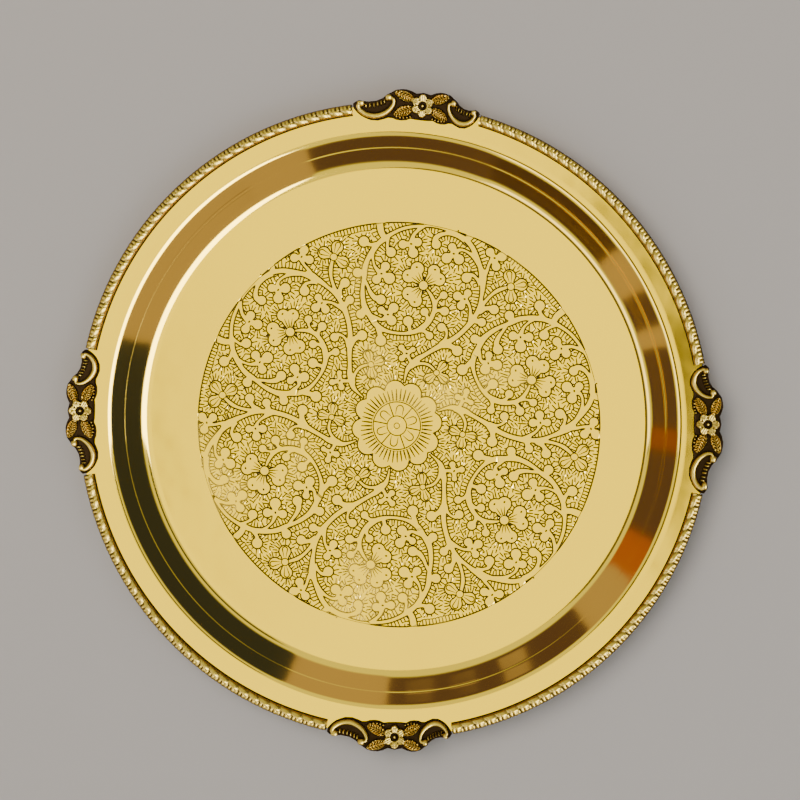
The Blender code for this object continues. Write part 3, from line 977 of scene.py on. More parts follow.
def finish_tree(made, geometry, given, merge):
    """Ends a tree: realizes its instances, merges what touches, and sets the material."""
    for kind, inputs in (
        ("RealizeInstances", {}),
        ("MergeByDistance", {"Distance": merge}),
        ("SetMaterial", {"Material": given["Material"]}),
    ):
        inputs["Geometry"] = geometry
        geometry = output_of(made, f"GeometryNode{kind}", "Geometry", inputs)
    add_node(made, "NodeGroupOutput", {"Geometry": geometry})


def run_tree(made, name, **values):
    """The tree's result as a plain mesh. Keys are input names, with _ for a space."""
    carrier = place_object(name + "_carrier", bpy.data.meshes.new(name + "_carrier"))
    modifier = carrier.modifiers.new(name, "NODES")
    modifier.node_group = made
    for item in made.interface.items_tree:
        if item.in_out == "INPUT":
            modifier[item.identifier] = values[item.name.lower().replace(" ", "_")]
    graph = bpy.context.evaluated_depsgraph_get()
    mesh = bpy.data.meshes.new_from_object(carrier.evaluated_get(graph), depsgraph=graph)
    mesh.name = name
    bpy.data.objects.remove(carrier)
    return mesh

# %% [markdown]
# ## Six sectors round the middle
#
# The tree sets one point for each sector, puts the sector on each, turned by its number, and
# merges the seams. The whole engraving sits nearly three millimetres off the tray's axis,
# because the engraver centred it by eye.

# %% The tree that turns the sector
tree, given = new_tree(
    "engraving_round_middle",
    sector="Object",
    repeats="Int",
    start_angle="Float",
    material="Material",
)
drawn = output_of(tree, "GeometryNodeObjectInfo", "Geometry", {"Object": given["Sector"]})
seats = output_of(
    tree, "GeometryNodeMeshLine", "Mesh", {"Offset": (0, 0, 0), "Count": given["Repeats"]}
)
number = output_of(tree, "GeometryNodeInputIndex", "Index")
share = calculate(tree, "DIVIDE", number, given["Repeats"])
angle = calculate(tree, "MULTIPLY_ADD", share, 2 * math.pi, given["Start Angle"])
about_axis = output_of(tree, "ShaderNodeCombineXYZ", "Vector", {"Z": angle})
placed = output_of(
    tree,
    "GeometryNodeInstanceOnPoints",
    "Instances",
    {"Points": seats, "Instance": drawn, "Rotation": about_axis},
)
finish_tree(tree, placed, given, 0.01 * MM)
disc_mesh = run_tree(
    tree,
    "engraved_disc",
    sector=sector,
    repeats=PATTERN_REPEATS,
    start_angle=SECTOR_UP,
    material=polished_brass,
)
ENGRAVED_CENTRE = Vector((1.6 * MM, -2.3 * MM, 0.0))
disc_mesh.transform(Matrix.Translation(ENGRAVED_CENTRE + Vector((0, 0, SHEET))))
print("engraved disc:", len(disc_mesh.vertices), "points,", len(disc_mesh.polygons), "faces")

# %% [markdown]
# ## The spun sheet
#
# The rest of the pan is its section turned about the axis, as on the lathe. The section goes
# out over the floor, up the wall and over the flange, round the cut edge, and back underneath
# at the sheet's thickness. Half way up the wall runs one fine ridge with a groove beside it,
# which the spinner's tool left, and the wall is rounder at its foot than the plain CAD section.
# The tree makes a grid with a column for each step round the lathe, gives each
# point its place in the section, and turns it. Its first ring meets the engraved disc.

# %% The section
CREASE_R = 126.3 * MM
CREASE_BUMPS = ((-0.55, 0.0), (-0.15, 0.06), (0.15, -0.06), (0.55, 0.0))
EDGE_ROUND = 0.25 * MM
WALL_FOOT_R = FLOOR_R - 2.8 * MM
SWELL_SHARE, FALL_START, FALL_SHARE = 0.33, 0.81, 0.17
FLANGE_SLOPE = 0.08
FLANGE_LIFT = FLANGE_RISE * 1.10


def ease(share):
    """0 to 1 with a soft start and end."""
    share = np.clip(share, 0, 1)
    return share**2 * (3 - 2 * share)


# The wall's slope swells slowly from the floor, stays the same, and falls quickly to the
# flange's. Its height is the sum of that slope, scaled so that it ends at the wall's rise.
wall_steps = np.linspace(WALL_FOOT_R, WALL_TOP_R, 600)
way_up = (wall_steps - WALL_FOOT_R) / (WALL_TOP_R - WALL_FOOT_R)
fall = ease((way_up - FALL_START) / FALL_SHARE)
wall_slope = ease(way_up / SWELL_SHARE) * (1 - fall) + FLANGE_SLOPE * fall
wall_heights = np.concatenate([[0], np.cumsum((wall_slope[1:] + wall_slope[:-1]) / 2)])
wall_heights *= WALL_RISE / wall_heights[-1]
steepest = math.degrees(math.atan(np.gradient(wall_heights, wall_steps).max()))
print("steepest wall slope in degrees:", round(steepest, 1))


def top_at(radius):
    """Height of the sheet's upper face at any radius outside the engraving."""
    if radius <= WALL_FOOT_R:
        return SHEET
    if radius < WALL_TOP_R:
        return SHEET + float(np.interp(radius, wall_steps, wall_heights))
    share = (radius - WALL_TOP_R) / (PAN_R - WALL_TOP_R)
    return SHEET + WALL_RISE + FLANGE_LIFT * share


def under_at(radius):
    """The point of the lower face that lies a sheet's thickness under the upper one."""
    step = 0.01 * MM
    slope = (top_at(radius + step) - top_at(radius - step)) / (2 * step)
    drop = SHEET / math.hypot(1, slope)
    return radius + slope * drop, top_at(radius) - drop


wall_radii = [WALL_FOOT_R + (WALL_TOP_R - WALL_FOOT_R) * i / 30 for i in range(31)]
wall_radii = [r for r in wall_radii if abs(r - CREASE_R) > 0.7 * MM]
flange_radii = [WALL_TOP_R + (PAN_R - EDGE_ROUND - WALL_TOP_R) * i / 6 for i in range(1, 7)]
upper = [(DISC_R * PATTERN_MM, SHEET), (DISC_R * PATTERN_MM + 8 * MM, SHEET)]
upper += [(r, top_at(r)) for r in (*wall_radii, *flange_radii)]
for out, rise in CREASE_BUMPS:
    radius = CREASE_R + out * MM
    upper.append((radius, top_at(radius) + rise * MM))
upper.sort()
rim_low = under_at(PAN_R)[1]
edge = [(PAN_R, top_at(PAN_R) - EDGE_ROUND), (PAN_R, rim_low + EDGE_ROUND)]
lower = [under_at(r) for r in (*wall_radii[::2], *flange_radii[1::2])][::-1]
section = [*upper, *edge, *lower, (60 * MM, 0.0), (0.0, 0.0)]
lines = [(i, i + 1) for i in range(len(section) - 1)]
profile_mesh = make_mesh("pan_section", [(r, 0, z) for r, z in section], [], lines)
profile = bpy.data.objects.new("pan_section", profile_mesh)
print("section points:", len(section))

# %% The tree that turns the section
tree, given = new_tree(
    "section_on_lathe", section="Object", steps="Int", start_angle="Float", material="Material"
)
drawn = output_of(tree, "GeometryNodeObjectInfo", "Geometry", {"Object": given["Section"]})
size = output_of(
    tree, "GeometryNodeAttributeDomainSize", "Point Count", {"Geometry": drawn}, component="MESH"
)
columns = calculate(tree, "ADD", given["Steps"], 1.0)
grid = output_of(
    tree, "GeometryNodeMeshGrid", "Mesh", {"Vertices X": columns, "Vertices Y": size}
)
number = output_of(tree, "GeometryNodeInputIndex", "Index")
row = calculate(tree, "FLOORED_MODULO", number, size)
column = calculate(tree, "FLOOR", calculate(tree, "DIVIDE", number, size))
share = calculate(tree, "DIVIDE", column, given["Steps"])
angle = calculate(tree, "MULTIPLY_ADD", share, 2 * math.pi, given["Start Angle"])
where = output_of(tree, "GeometryNodeInputPosition", "Position")
in_section = output_of(
    tree,
    "GeometryNodeSampleIndex",
    "Value",
    {"Geometry": drawn, "Index": row, "Value": where},
    data_type="FLOAT_VECTOR",
    domain="POINT",
)
turned_point = output_of(
    tree,
    "ShaderNodeVectorRotate",
    "Vector",
    {"Vector": in_section, "Angle": angle},
    rotation_type="Z_AXIS",
)
spun = output_of(
    tree, "GeometryNodeSetPosition", "Geometry", {"Geometry": grid, "Position": turned_point}
)
finish_tree(tree, spun, given, 0.005 * MM)
spun_mesh = run_tree(
    tree,
    "spun_sheet",
    section=profile,
    steps=PATTERN_REPEATS * DISC_STEPS,
    start_angle=math.radians(60) + SECTOR_UP,
    material=polished_brass,
)
print("spun sheet:", len(spun_mesh.vertices), "points,", len(spun_mesh.polygons), "faces")

# %% [markdown]
# ## Joining the disc to the sheet
#
# The inner ring of the spun part moves over to the engraving's own centre, so that both rings
# meet point for point, and the two are welded. The engraved disc keeps flat faces: each cut
# has two flat walls, and the plain metal between is level. The rest is smooth. Where a cut
# crosses from one sector into the next, its two sides can differ by a few hundredths of a
# millimetre, so the seams are pulled together until the sheet is closed.

# %% The finished pan


def link_piece(name, mesh):
    """Puts a mesh in the scene as a piece, riding on the tray's one body."""
    piece = place_object(name, mesh)
    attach(piece, "root")
    return piece


SEAM_REACH = 0.02 * MM
SEAM_ASIDE = 0.015 * MM
MERGE = 0.004 * MM
LEAST_EDGE = 0.002 * MM


def close_seams(shape):
    """Merges the two sides of an open seam, which lie on one line when seen from above."""
    loose = [vert for vert in shape.verts if any(line.is_boundary for line in vert.link_edges)]
    tree = KDTree(len(loose))
    for i, vert in enumerate(loose):
        tree.insert((vert.co.x, vert.co.y, 0), i)
    tree.balance()
    for vert in loose:
        near = [loose[i] for _, i, _ in tree.find_range((vert.co.x, vert.co.y, 0), SEAM_REACH)]
        middle = sum((other.co for other in near), Vector()) / len(near)
        for other in near:
            other.co = middle
    # A point that only one side has is given to the other side's edge too.
    for line in [line for line in shape.edges if line.is_boundary]:
        start, end = line.verts[0].co.copy(), line.verts[1].co.copy()
        way = (end - start).xy
        middle = (start + end) / 2
        found = []
        for _, i, _ in tree.find_range((middle.x, middle.y, 0), way.length / 2):
            offset = (loose[i].co - start).xy
            share = offset.dot(way) / way.length_squared
            aside = abs(offset.x * way.y - offset.y * way.x) / way.length
            if 0.002 < share < 0.998 and aside < SEAM_ASIDE:
                found.append((share, loose[i]))
        done, rest, first = 0.0, line, line.verts[0]
        for share, other in sorted(found, key=lambda pair: pair[0]):
            last = rest.other_vert(first)
            rest, added = bmesh.utils.edge_split(rest, first, (share - done) / (1 - done))
            rest = next(part for part in added.link_edges if last in part.verts)
            added.co = other.co
            done, first = share, added
    bmesh.ops.remove_doubles(shape, verts=shape.verts, dist=MERGE)
    bmesh.ops.dissolve_degenerate(shape, edges=shape.edges, dist=LEAST_EDGE)


SHARP = math.radians(38)
shape = bmesh.new()
shape.from_mesh(spun_mesh)
for vert in shape.verts:
    if abs(vert.co.xy.length - DISC_R * PATTERN_MM) < 0.01 * MM and vert.co.z > SHEET / 2:
        vert.co += ENGRAVED_CENTRE
for face in shape.faces:
    face.smooth = True
smooth_count = len(shape.faces)
shape.from_mesh(disc_mesh)
shape.faces.ensure_lookup_table()
for face in shape.faces[smooth_count:]:
    face.smooth = False
bmesh.ops.remove_doubles(shape, verts=shape.verts, dist=2 * MERGE)
bmesh.ops.dissolve_degenerate(shape, edges=shape.edges, dist=LEAST_EDGE)
for _ in range(2):
    close_seams(shape)
# What is left are a few upright slivers that hang on a closed seam.
flaps = {line.link_faces[0] for line in shape.edges if line.is_boundary}
flaps = [face for face in flaps if sum(len(line.link_faces) == 3 for line in face.edges) == 2]
bmesh.ops.delete(shape, geom=flaps, context="FACES")
bmesh.ops.recalc_face_normals(shape, faces=shape.faces)
for line in shape.edges:
    if line.is_manifold and line.calc_face_angle(0) > SHARP:
        line.smooth = False
open_edges = sum(not line.is_manifold for line in shape.edges)
bmesh.ops.triangulate(shape, faces=shape.faces)
pan_mesh = bpy.data.meshes.new("spun_pan")
pan_mesh.materials.append(polished_brass)
shape.to_mesh(pan_mesh)
shape.free()
pan = link_piece("spun_pan", pan_mesh)
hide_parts("tray_pan")
print("pan:", len(pan_mesh.polygons), "triangles, open edges:", open_edges)

# %% [markdown]
# ## The border's lobes
#
# The border is one short pattern repeated: on its inner part a smooth lobe that slants, and on
# its outer part a fan of three short ribs. A unit one pitch long is modelled straight, as a
# relief over the casting's section. It is higher in the middle and falls to a shoulder on each
# side, with a dark groove along the inner edge: stain in the groove, and painted shade of the
# gap where the border meets the flange. Its closed underside and lip follow the flange. The
# unit stores a "cavity" attribute, which carries both.

# %% Sizes of the castings
FIT = 0.3 * MM
LIP = 0.8 * MM
BORDER_WIDTH = 5.2 * MM
LOBE_PITCH = 5.6 * MM
BORDER_R = PAN_R + FIT + LIP
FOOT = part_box("border_strip_top_left")[0].z


def seat(radius):
    """Height of a casting's underside, just clear of the flange."""
    return flange_top(radius) + FIT


def relief_ring(tops):
    """A casting's closed section, out and height: its relief, then its lip and underside."""
    outer = tops[-1][0]
    return [*tops, (outer, FOOT), (FIT, FOOT), (FIT, seat(PAN_R))]


# %% One straight unit of the border
UNIT_COLUMNS = 15
UNIT_ROWS = 16
SHOULDER = 0.3
FAN_START = 0.60


def ridges(phase, sharpness):
    """A row of rounded ridges, one for each whole phase: 1 on a ridge, 0 between two."""
    return 1 - abs(2 * (phase % 1) - 1) ** sharpness


def bell(distance, width):
    """A smooth bump: 1 at no distance, and nearly 0 past twice the width."""
    return math.exp(-((distance / width) ** 2))


def border_relief(along, across):
    """Height over the seat in millimetres and cavity, at shares of the pitch and of the width."""
    crown = 1.15 + 1.25 * math.sin(math.pi * min(max(across, 0), 1)) ** 0.7
    lobe_phase = along - 0.55 * (0.62 - across)
    lobe_low = 0.75 * (1 - ridges(lobe_phase, 2.6)) + 0.3 * bell((lobe_phase % 1) - 0.70, 0.05)
    fan_phase = 3 * (along + 0.06 * (across - 0.6))
    middle_rib = 0.25 if 1 <= (fan_phase % 3) < 2 else 0.0
    fan_low = 0.7 * (1 - ridges(fan_phase, 2.4)) + 0.30 - middle_rib
    start = FAN_START + 0.06 * math.cos(2 * math.pi * (lobe_phase - 0.5))
    mixed = min(max((across - start) / 0.07, 0), 1)
    low = lobe_low * (1 - mixed) + fan_low * mixed + 0.25 * bell(across - start, 0.05)
    seam = min(max((across - 0.07) / 0.10, 0), 1)
    height = SHOULDER + (crown - low - SHOULDER) * seam
    # The low shoulder by the inner edge gets full cavity: stain, and painted shade of the gap to
    # the flange.
    return height, max(min(0.85 * low, 1.0), 1 - seam)


unit_verts, unit_cavity = [], []
for i in range(UNIT_COLUMNS + 1):
    tops, cavities = [], []
    for j in range(UNIT_ROWS + 1):
        across = j / UNIT_ROWS
        out = FIT + LIP - BORDER_WIDTH * (1 - across)
        relief, hollow = border_relief(i / UNIT_COLUMNS, across)
        tops.append((out, seat(PAN_R + out) + max(relief, SHOULDER) * MM))
        # The inner edge and the point at its foot get full cavity too: painted shade of the gap to
        # the flange, over the stain.
        cavities.append(max(hollow, 1 - (1 - across) / 0.08))
    ring = relief_ring([(tops[0][0], seat(PAN_R + tops[0][0])), *tops])
    unit_verts += [(LOBE_PITCH * i / UNIT_COLUMNS, out, z) for out, z in ring]
    unit_cavity += [1.0, *cavities, 1.0, 1.0, 1.0]


def skin(columns, count):
    """Faces that join rings of this many points, each ring to the next."""
    starts = [(i * count, i * count + count) for i in range(columns)]
    steps = [(j, (j + 1) % count) for j in range(count)]
    return [(a + j, b + j, b + k, a + k) for a, b in starts for j, k in steps]


unit_mesh = make_mesh("border_unit", unit_verts, skin(UNIT_COLUMNS, len(ring)))
unit_mesh.shade_smooth()
store(unit_mesh, "cavity", unit_cavity)
border_unit = bpy.data.objects.new("border_unit", unit_mesh)
print("border unit faces:", len(unit_mesh.polygons))

# %% [markdown]
# ## Bending a row of lobes round the rim
#
# The tree lays the units end to end in a straight line, merges them, and then bends the line:
# a point's place along it becomes an angle, and its distance out becomes a radius. The same
# tree makes all four strips, each a little stretched so that it holds a whole number of lobes.

# %% The tree that bends the border
bend_tree, given = new_tree(
    "border_round_rim",
    unit="Object",
    count="Int",
    pitch="Float",
    stretch="Float",
    start_angle="Float",
    rim_radius="Float",
    material="Material",
)
one = output_of(bend_tree, "GeometryNodeObjectInfo", "Geometry", {"Object": given["Unit"]})
step = output_of(bend_tree, "ShaderNodeCombineXYZ", "Vector", {"X": given["Pitch"]})
line = output_of(
    bend_tree, "GeometryNodeMeshLine", "Mesh", {"Count": given["Count"], "Offset": step}
)
longer = {"X": given["Stretch"], "Y": 1.0, "Z": 1.0}
scale = output_of(bend_tree, "ShaderNodeCombineXYZ", "Vector", longer)
placed = output_of(
    bend_tree,
    "GeometryNodeInstanceOnPoints",
    "Instances",
    {"Points": line, "Instance": one, "Scale": scale},
)
real = output_of(bend_tree, "GeometryNodeRealizeInstances", "Geometry", {"Geometry": placed})
where = output_of(bend_tree, "GeometryNodeInputPosition", "Position")
parts = add_node(bend_tree, "ShaderNodeSeparateXYZ", {"Vector": where}).outputs
turn = calculate(bend_tree, "DIVIDE", parts["X"], given["Rim Radius"])
angle = calculate(bend_tree, "SUBTRACT", given["Start Angle"], turn)
radius = calculate(bend_tree, "ADD", parts["Y"], given["Rim Radius"])
straight = output_of(bend_tree, "ShaderNodeCombineXYZ", "Vector", {"X": radius, "Z": parts["Z"]})
bent_point = output_of(
    bend_tree,
    "ShaderNodeVectorRotate",
    "Vector",
    {"Vector": straight, "Angle": angle},
    rotation_type="Z_AXIS",
)
bent = output_of(
    bend_tree, "GeometryNodeSetPosition", "Geometry", {"Geometry": real, "Position": bent_point}
)
finish_tree(bend_tree, bent, given, 0.01 * MM)
print("tree:", bend_tree.name)

# %% The four strips
MOUNT_ANGLES = {"top": 85.0, "left": 178.5, "bottom": 270.0, "right": 359.5}
MOUNT_HALF = 29.0 * MM
STRIP_GAP = 0.9 * MM


def close_casting(mesh):
    """Fills a casting's open ends, turns its faces outwards and marks its sharp edges."""
    shape = bmesh.new()
    shape.from_mesh(mesh)
    rims = [line for line in shape.edges if line.is_boundary]
    filled = bmesh.ops.holes_fill(shape, edges=rims, sides=0)["faces"]
    bmesh.ops.triangulate(shape, faces=filled)
    bmesh.ops.recalc_face_normals(shape, faces=shape.faces)
    for face in shape.faces:
        face.smooth = True
    for line in shape.edges:
        if line.is_manifold and line.calc_face_angle(0) > math.radians(55):
            line.smooth = False
    open_edges = sum(not line.is_manifold for line in shape.edges)
    shape.to_mesh(mesh)
    shape.free()
    return open_edges


names = list(MOUNT_ANGLES)
for before, after in zip(names, [*names[1:], names[0]]):
    high = MOUNT_ANGLES[after] + (360 if MOUNT_ANGLES[after] < MOUNT_ANGLES[before] else 0)
    length = math.radians(high - MOUNT_ANGLES[before]) * PAN_R - 2 * (MOUNT_HALF + STRIP_GAP)
    count = round(length / LOBE_PITCH)
    strip_mesh = run_tree(
        bend_tree,
        f"lobed_border_{before}_{after}",
        unit=border_unit,
        count=count,
        pitch=length / count,
        stretch=length / count / LOBE_PITCH,
        start_angle=math.radians(high) - (MOUNT_HALF + STRIP_GAP) / PAN_R,
        rim_radius=PAN_R,
        material=antique_brass,
    )
    open_edges = close_casting(strip_mesh)
    strip = link_piece(f"lobed_border_{before}_{after}", strip_mesh)
    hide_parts(f"border_strip_{before}_{after}")
    print(strip.name, "lobes:", count, "open edges:", open_edges)

# %% [markdown]
# ## The flower mounts
#
# Each mount is one casting: a six-petalled flower with a bead at its heart, two pairs of
# ribbed leaves, and a C scroll on each side that curls round a row of small ribs. It is
# modelled as a relief, as a carver of the wooden pattern would think of it. Every feature
# gives a height at each point of the plate, and the highest one wins. Distances along the
# rim and out from the sheet's edge are in millimetres. No two castings are quite alike: each
# flower sits a little off the middle of its plate, and its scrolls are drawn out to match.

# %% Sizes of the relief
MOUNT_OUTLINE = (
    # Along the rim, then the plate's inner and outer edge.
    (0, -6.5, 6.0), (3.3, -6.4, 5.3), (5.5, -6.1, 6.4), (7.6, -6.9, 7.0), (9.7, -7.1, 7.0),
    (12.1, -6.8, 6.6), (13.7, -6.1, 5.6), (15.6, -5.9, 4.6), (17.4, -6.5, 3.0), (20, -7.1, 1.9),
    (23, -6.7, 1.7), (25, -5.6, 2.1), (26.6, -4.4, 2.7), (28, -2.6, 2.2), (29, -0.7, 1.4),
)
SCROLL_PATH = (
    (14.9, 3.1, 0.8), (13.0, 2.5, 0.85), (12.8, 0.7, 0.95), (13.9, -1.5, 1.05), (16.4, -3.7, 1.2),
    (20.2, -5.0, 1.3), (23.9, -4.2, 1.2), (26.4, -2.0, 1.1), (27.1, 0.2, 0.95), (26.0, 1.2, 0.8),
)
SCROLL_RIBS = ((16.7, 1.3), (18.0, 0.8), (19.5, 0.3), (21.0, 0.0), (22.6, -0.1), (24.1, -0.2))
OUTER_LEAF = ((4.0, 2.3), (12.5, 5.6), 2.35)
INNER_LEAF = ((4.2, -1.3), (13.2, -4.7), 2.45)
LEAF_BEADS = ((5.4, -5.3), (6.9, -5.7), (8.5, -5.9), (10.1, -5.8), (11.6, -5.4))
PETAL_MIDDLE, PETAL_LONG, PETAL_WIDE = 3.3, 2.25, 2.15
RECESS = 0.7
# How far each flower sits off the middle of its casting, clockwise along the rim.
MOUNT_LEANS = {"top": 3.0, "left": 0.5, "bottom": -2.8, "right": -2.4}

# %% Heights of the features


def dome(distance, radius, rise):
    """A round-topped bump over a distance: its rise at 0, and 0 from the radius on."""
    return rise * np.sqrt(np.clip(1 - (distance / radius) ** 2, 0, 1))


def flower_height(u, v):
    """Six cupped petals with fine ribs, and a bead in the middle."""
    height = np.zeros_like(u)
    for i in range(6):
        a = math.radians(90 + 60 * i)
        along, across = u * math.cos(a) + v * math.sin(a), v * math.cos(a) - u * math.sin(a)
        where = np.hypot((along - PETAL_MIDDLE) / PETAL_LONG, across / PETAL_WIDE)
        lip = 0.3 * np.exp(-(((where - 0.7) / 0.2) ** 2)) * (along > PETAL_MIDDLE)
        ribs = 0.14 * np.cos(2 * math.pi * across / 0.9)
        petal = np.where(where < 1, 1.25 + dome(where, 1.0, 1.1) + lip + ribs * (where < 0.85), 0)
        petal *= np.clip((1 - where) / 0.12, 0, 1) ** 0.5
        height = np.maximum(height, petal)
    from_heart = np.hypot(u, v)
    height = np.where(from_heart < 1.95, np.minimum(height, 0.9), height)
    return np.maximum(height, 1.3 * (from_heart < 0.85) + dome(from_heart, 0.85, 1.1))


def leaf_height(u, v, leaf, slant):
    """A leaf with a raised rim and slanting ribs."""
    (u0, v0), (u1, v1), half = leaf
    length = math.hypot(u1 - u0, v1 - v0)
    cu, cv = (u1 - u0) / length, (v1 - v0) / length
    along, across = (u - u0) * cu + (v - v0) * cv, (v - v0) * cu - (u - u0) * cv
    share = np.clip(along / length, 0, 1)
    width = half * np.sin(math.pi * share**0.85) ** 0.65 + 1e-6
    where = np.abs(across) / width
    inside = (where < 1) & (along > 0) & (along < length)
    rim = np.exp(-(((where - 0.86) / 0.16) ** 2))
    ribs = 0.5 + 0.5 * np.cos(2 * math.pi * (along + slant * np.abs(across)) / 1.25)
    spine = np.exp(-((across / 0.3) ** 2))
    height = 1.35 + 0.85 * rim * (0.45 + 0.55 * ribs) + 0.6 * ribs * (where < 0.8) + 0.4 * spine
    return np.where(inside, height * np.clip((1 - where) / 0.1, 0, 1) ** 0.5, 0)


def scroll_height(u, v):
    """The C scroll: a thick rounded bar along its path, with a ball at each end."""
    path = smooth_path(SCROLL_PATH, 0.4)
    height = np.zeros_like(u)
    for x, y, half in path:
        gap = np.hypot(u - x, v - y)
        height = np.maximum(height, np.where(gap < half, 1.45 + dome(gap, half, 1.25), 0))
    for x, y, _ in (path[0], path[-1]):
        gap = (np.abs(u - x) ** 3 + np.abs(v - y) ** 3) ** (1 / 3)
        height = np.maximum(height, np.where(gap < 1.55, 1.5 + dome(gap, 1.55, 1.4), 0))
    for x, y in SCROLL_RIBS:
        gap = (np.abs((u - x) / 0.48) ** 4 + np.abs((v - y) / 1.3) ** 4) ** 0.25
        height = np.maximum(height, dome(gap, 1.0, 2.1))
    return height


def mount_height(u, v, edge_gap):
    """Height over the seat of the whole relief, in millimetres."""
    u = np.abs(u)
    height = RECESS + 0.35 * np.exp(-((edge_gap / 0.5) ** 2))
    for feature in (
        flower_height(u, v),
        leaf_height(u, v, OUTER_LEAF, 0.8),
        leaf_height(u, v, INNER_LEAF, -0.8),
        scroll_height(u, v),
    ):
        height = np.maximum(height, feature)
    for x, y in LEAF_BEADS:
        height = np.maximum(height, dome(np.hypot(u - x, v - y), 0.72, 2.45))
    return height * np.clip(edge_gap / 0.35, 0.35, 1) ** 0.6


# %% The relief as a mesh
MOUNT_COLUMNS, MOUNT_ROWS = 264, 60
outline = [(-u, inner, outer) for u, inner, outer in MOUNT_OUTLINE[:0:-1]]
outline = np.array([*outline, *MOUNT_OUTLINE], float)
along = np.linspace(-MOUNT_HALF / MM, MOUNT_HALF / MM, MOUNT_COLUMNS + 1)


def mount_relief(lean):
    """A mount's relief, its flower this far off the middle: distance out, height and cavity."""
    place = along - lean * (1 - (along / along[-1]) ** 2)
    inner, outer = (np.interp(place, outline[:, 0], outline[:, i])[:, None] for i in (1, 2))
    u = np.repeat(place[:, None], MOUNT_ROWS + 1, axis=1)
    v = inner + (outer - inner) * np.linspace(0, 1, MOUNT_ROWS + 1)
    edge_gap = np.minimum(np.minimum(v - inner, outer - v), along[-1] - np.abs(u))
    height = mount_height(u, v, edge_gap)
    # Stain stays where the metal lies lower than what stands round it, and on steep flanks.
    steps = [polar(0.7, a) for a in np.arange(0, 6.2, 0.785)]
    around = np.mean([mount_height(u + du, v + dv, edge_gap) for du, dv in steps], axis=0)
    hollow = np.clip((around - height) / 0.40 + 0.22, 0, 1)
    low = np.clip((1.6 - height) / 0.5, 0, 1)
    across_step = (outer - inner) / MOUNT_ROWS
    slopes = np.gradient(height, along, axis=0), np.gradient(height, axis=1) / across_step
    flank = 0.85 * np.clip((np.hypot(*slopes) - 1.5) / 1.5, 0, 1)
    return v, height, np.maximum(np.maximum(low, 0.95 * hollow), flank)


def mount_mesh(name, degrees, lean):
    """One mount's closed mesh, in place on the rim."""
    v, relief, cavity = mount_relief(lean)
    verts, cavities = [], []
    for i in range(MOUNT_COLUMNS + 1):
        outs = v[i] * MM
        tops = [(out, seat(PAN_R + out) + rise * MM) for out, rise in zip(outs, relief[i])]
        ring = relief_ring([(outs[0], seat(PAN_R + outs[0])), *tops])
        angle = math.radians(degrees) - along[i] * MM / PAN_R
        verts += [(*polar(PAN_R + out, angle), z) for out, z in ring]
        cavities += [1.0, *cavity[i], 1.0, 1.0, 1.0]
    mesh = make_mesh(name, verts, skin(MOUNT_COLUMNS, len(ring)), material=antique_brass)
    store(mesh, "cavity", cavities)
    return mesh


for place_name, degrees in MOUNT_ANGLES.items():
    casting = mount_mesh(f"cast_flower_{place_name}", degrees, MOUNT_LEANS[place_name])
    open_edges = close_casting(casting)
    mount = link_piece(f"cast_flower_{place_name}", casting)
    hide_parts(f"flower_mount_{place_name}")
    print(mount.name, "faces:", len(casting.polygons), "open edges:", open_edges)

# %% [markdown]
# ## Floor and light
#
# The floor is plain and pale, lit by one wide soft light from above and by a pale room.
# Polished metal shows what stands round it far more than its own colour. So a dome stands
# round the tray, seen only in its reflections. It glows like the room of a studio: a softbox
# overhead, a bright window on one side, pale and brown walls, and dark gaps between them. The
# flat brass shows the softbox, and the wall of the tray shows the rest as bands.

# %% Floor and soft light
floor_material, tree, shader = new_material("pale_painted_floor")
shader.inputs["Metallic"].default_value = 0.0
shader.inputs["Roughness"].default_value = 0.75
shader.inputs["Base Color"].default_value = hex_colour("#BDB5AF")
FLOOR_HALF = 3.0
signs = ((-1, -1), (1, -1), (1, 1), (-1, 1))
corners = [(x * FLOOR_HALF, y * FLOOR_HALF, cad_low.z) for x, y in signs]
floor = place_object("floor", make_mesh("floor", corners, [(0, 1, 2, 3)], material=floor_material))

lamp = bpy.data.lights.new("soft_light", "AREA")
lamp.shape = "SQUARE"
lamp.size = 1.6
lamp.energy = 34.0
lamp.color = hex_colour("#FFFAF4")[:3]
soft_light = place_object("soft_light", lamp)
LAMP_PLACE = Vector((-0.5, 0.6, 2.2))
soft_light.matrix_world = Matrix.Translation(LAMP_PLACE) @ (
    (-LAMP_PLACE).to_track_quat("-Z", "Y").to_matrix().to_4x4()
)
soft_light.visible_camera = False
soft_light.visible_glossy = False
world = bpy.data.worlds.new("pale_room")
world.use_nodes = True
background = world.node_tree.nodes["Background"]
background.inputs["Color"].default_value = hex_colour("#CFC8C2")
background.inputs["Strength"].default_value = 0.55
bpy.context.scene.world = world
print("floor at", round(cad_low.z, 5), "soft light:", lamp.energy, "W")

# %% The glowing dome
DOME_R = 6.0
DOME_STEP = 2
DARK = (0.045, 0.062, 0.16)
UMBER = (0.085, 0.060, 0.12)
BROWN = (0.125, 0.095, 0.20)
RUST = (0.50, 0.18, 0.08)
GOLD = (0.60, 0.55, 0.66)
PALE = (1.15, 1.36, 0.70)
SOFTBOX = (2.32, 2.62, 0.10)
WINDOW = (11.0, 13.0, 15.0)
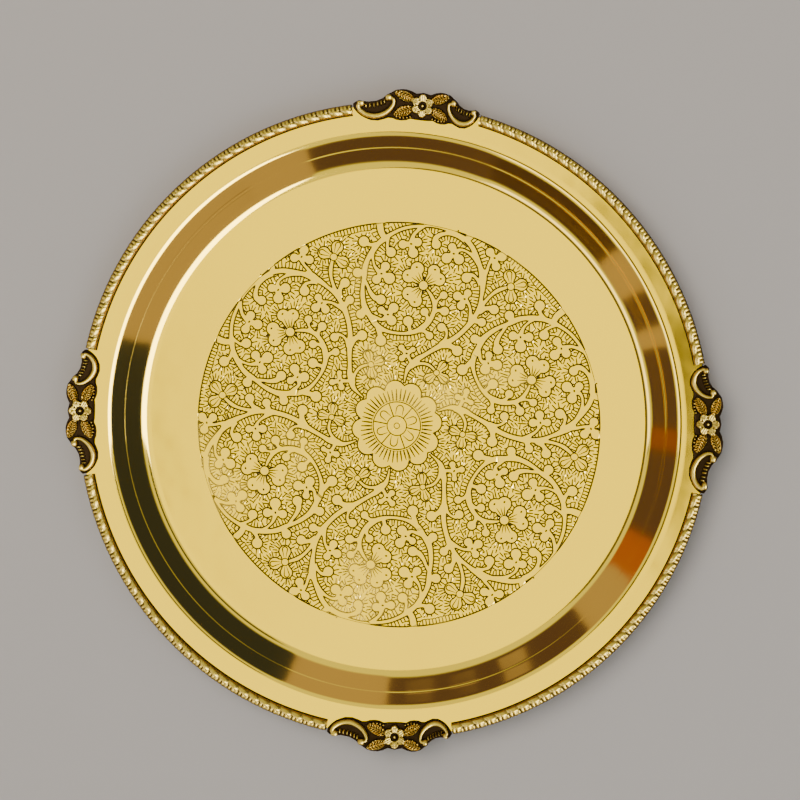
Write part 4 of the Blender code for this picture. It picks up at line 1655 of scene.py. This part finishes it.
# Each patch: from and to azimuth, from and to angle off the zenith, both in degrees, and its glow.
DOME_PATCHES = (
    (0, 360, 0, 62, PALE),
    (0, 74, 20, 38, DARK),
    (155, 250, 8, 36, (0.15, 0.16, 0.22)),
    (180, 200, 44, 62, DARK),
    (279, 360, 12, 58, WINDOW),
    (182, 240, 36, 62, (3.4, 3.9, 5.5)),
    # The room's walls, low down.
    (337, 434, 58, 180, DARK),
    (74, 98, 62, 180, GOLD),
    (98, 144, 68, 180, BROWN),
    (102, 108, 72, 80, GOLD),
    (113, 119, 74, 83, GOLD),
    (124, 130, 72, 81, GOLD),
    (144, 156, 66, 180, GOLD),
    (156, 165, 68, 180, RUST),
    (165, 180, 70, 180, BROWN),
    (180, 184, 72, 180, (0.32, 0.13, 0.08)),
    (184, 199, 78, 180, BROWN),
    (199, 203, 74, 180, GOLD),
    (203, 209, 78, 180, BROWN),
    (209, 216, 74, 180, GOLD),
    (216, 242, 80, 180, UMBER),
    (242, 279, 76, 180, BROWN),
    (279, 337, 60, 180, GOLD),
    (292, 316, 76, 84, BROWN),
)
FADE, SOFT_EDGE = 9.0, 5.0


def dome_glow(azimuth, off_zenith):
    """The dome's glow in one direction: later patches cover earlier ones, low ones fade in."""
    glow = np.array(PALE)
    for a0, a1, z0, z1, colour in DOME_PATCHES:
        if not (a0 <= azimuth < a1 or a0 <= azimuth + 360 < a1) or off_zenith >= z1:
            continue
        if z1 == 180:
            ramp = (off_zenith - z0) / FADE + 1
        else:
            ramp = min(off_zenith - z0, z1 - off_zenith) / SOFT_EDGE
        share = min(max(ramp, 0), 1)
        glow = glow * (1 - share) + np.array(colour) * share
    return glow


def in_softbox(azimuth, off_zenith):
    """Whether the softbox covers this direction: a rectangle turned by 15 degrees."""
    turn = math.radians(azimuth - 15)
    x, y = off_zenith * math.cos(turn), off_zenith * math.sin(turn)
    return -16.2 < x < 9 and -15 < y < 13


dome_verts, dome_glows = [], []
off_zeniths = [*np.arange(0, 40, 1.0), *np.arange(40, 96, 2.0)]
for z0, z1 in zip(off_zeniths, off_zeniths[1:]):
    for azimuth in range(0, 360, DOME_STEP):
        for z, a in ((z0, 0), (z0, DOME_STEP), (z1, DOME_STEP), (z1, 0)):
            x, y = polar(DOME_R * math.sin(math.radians(z)), math.radians(azimuth + a))
            dome_verts.append((x, y, DOME_R * math.cos(math.radians(z))))
        middle = azimuth + DOME_STEP / 2, (z0 + z1) / 2
        glow = SOFTBOX if in_softbox(*middle) else dome_glow(*middle)
        dome_glows += [(*glow, 1.0)] * 4
dome_material, tree, _ = new_material("studio_glow")
tree.nodes.clear()
glow = output_of(tree, "ShaderNodeAttribute", "Color", attribute_name="glow")
light = output_of(tree, "ShaderNodeEmission", "Emission", {"Color": glow})
add_node(tree, "ShaderNodeOutputMaterial", {"Surface": light})
dome_faces = [range(i, i + 4) for i in range(0, len(dome_verts), 4)]
dome_mesh = make_mesh("studio_dome", dome_verts, dome_faces, material=dome_material)
store(dome_mesh, "glow", dome_glows, "FLOAT_COLOR")
dome = place_object("studio_dome", dome_mesh)
dome.visible_camera = False
dome.visible_diffuse = False
dome.visible_shadow = False
dome.visible_transmission = False
print("dome faces:", len(dome_faces))
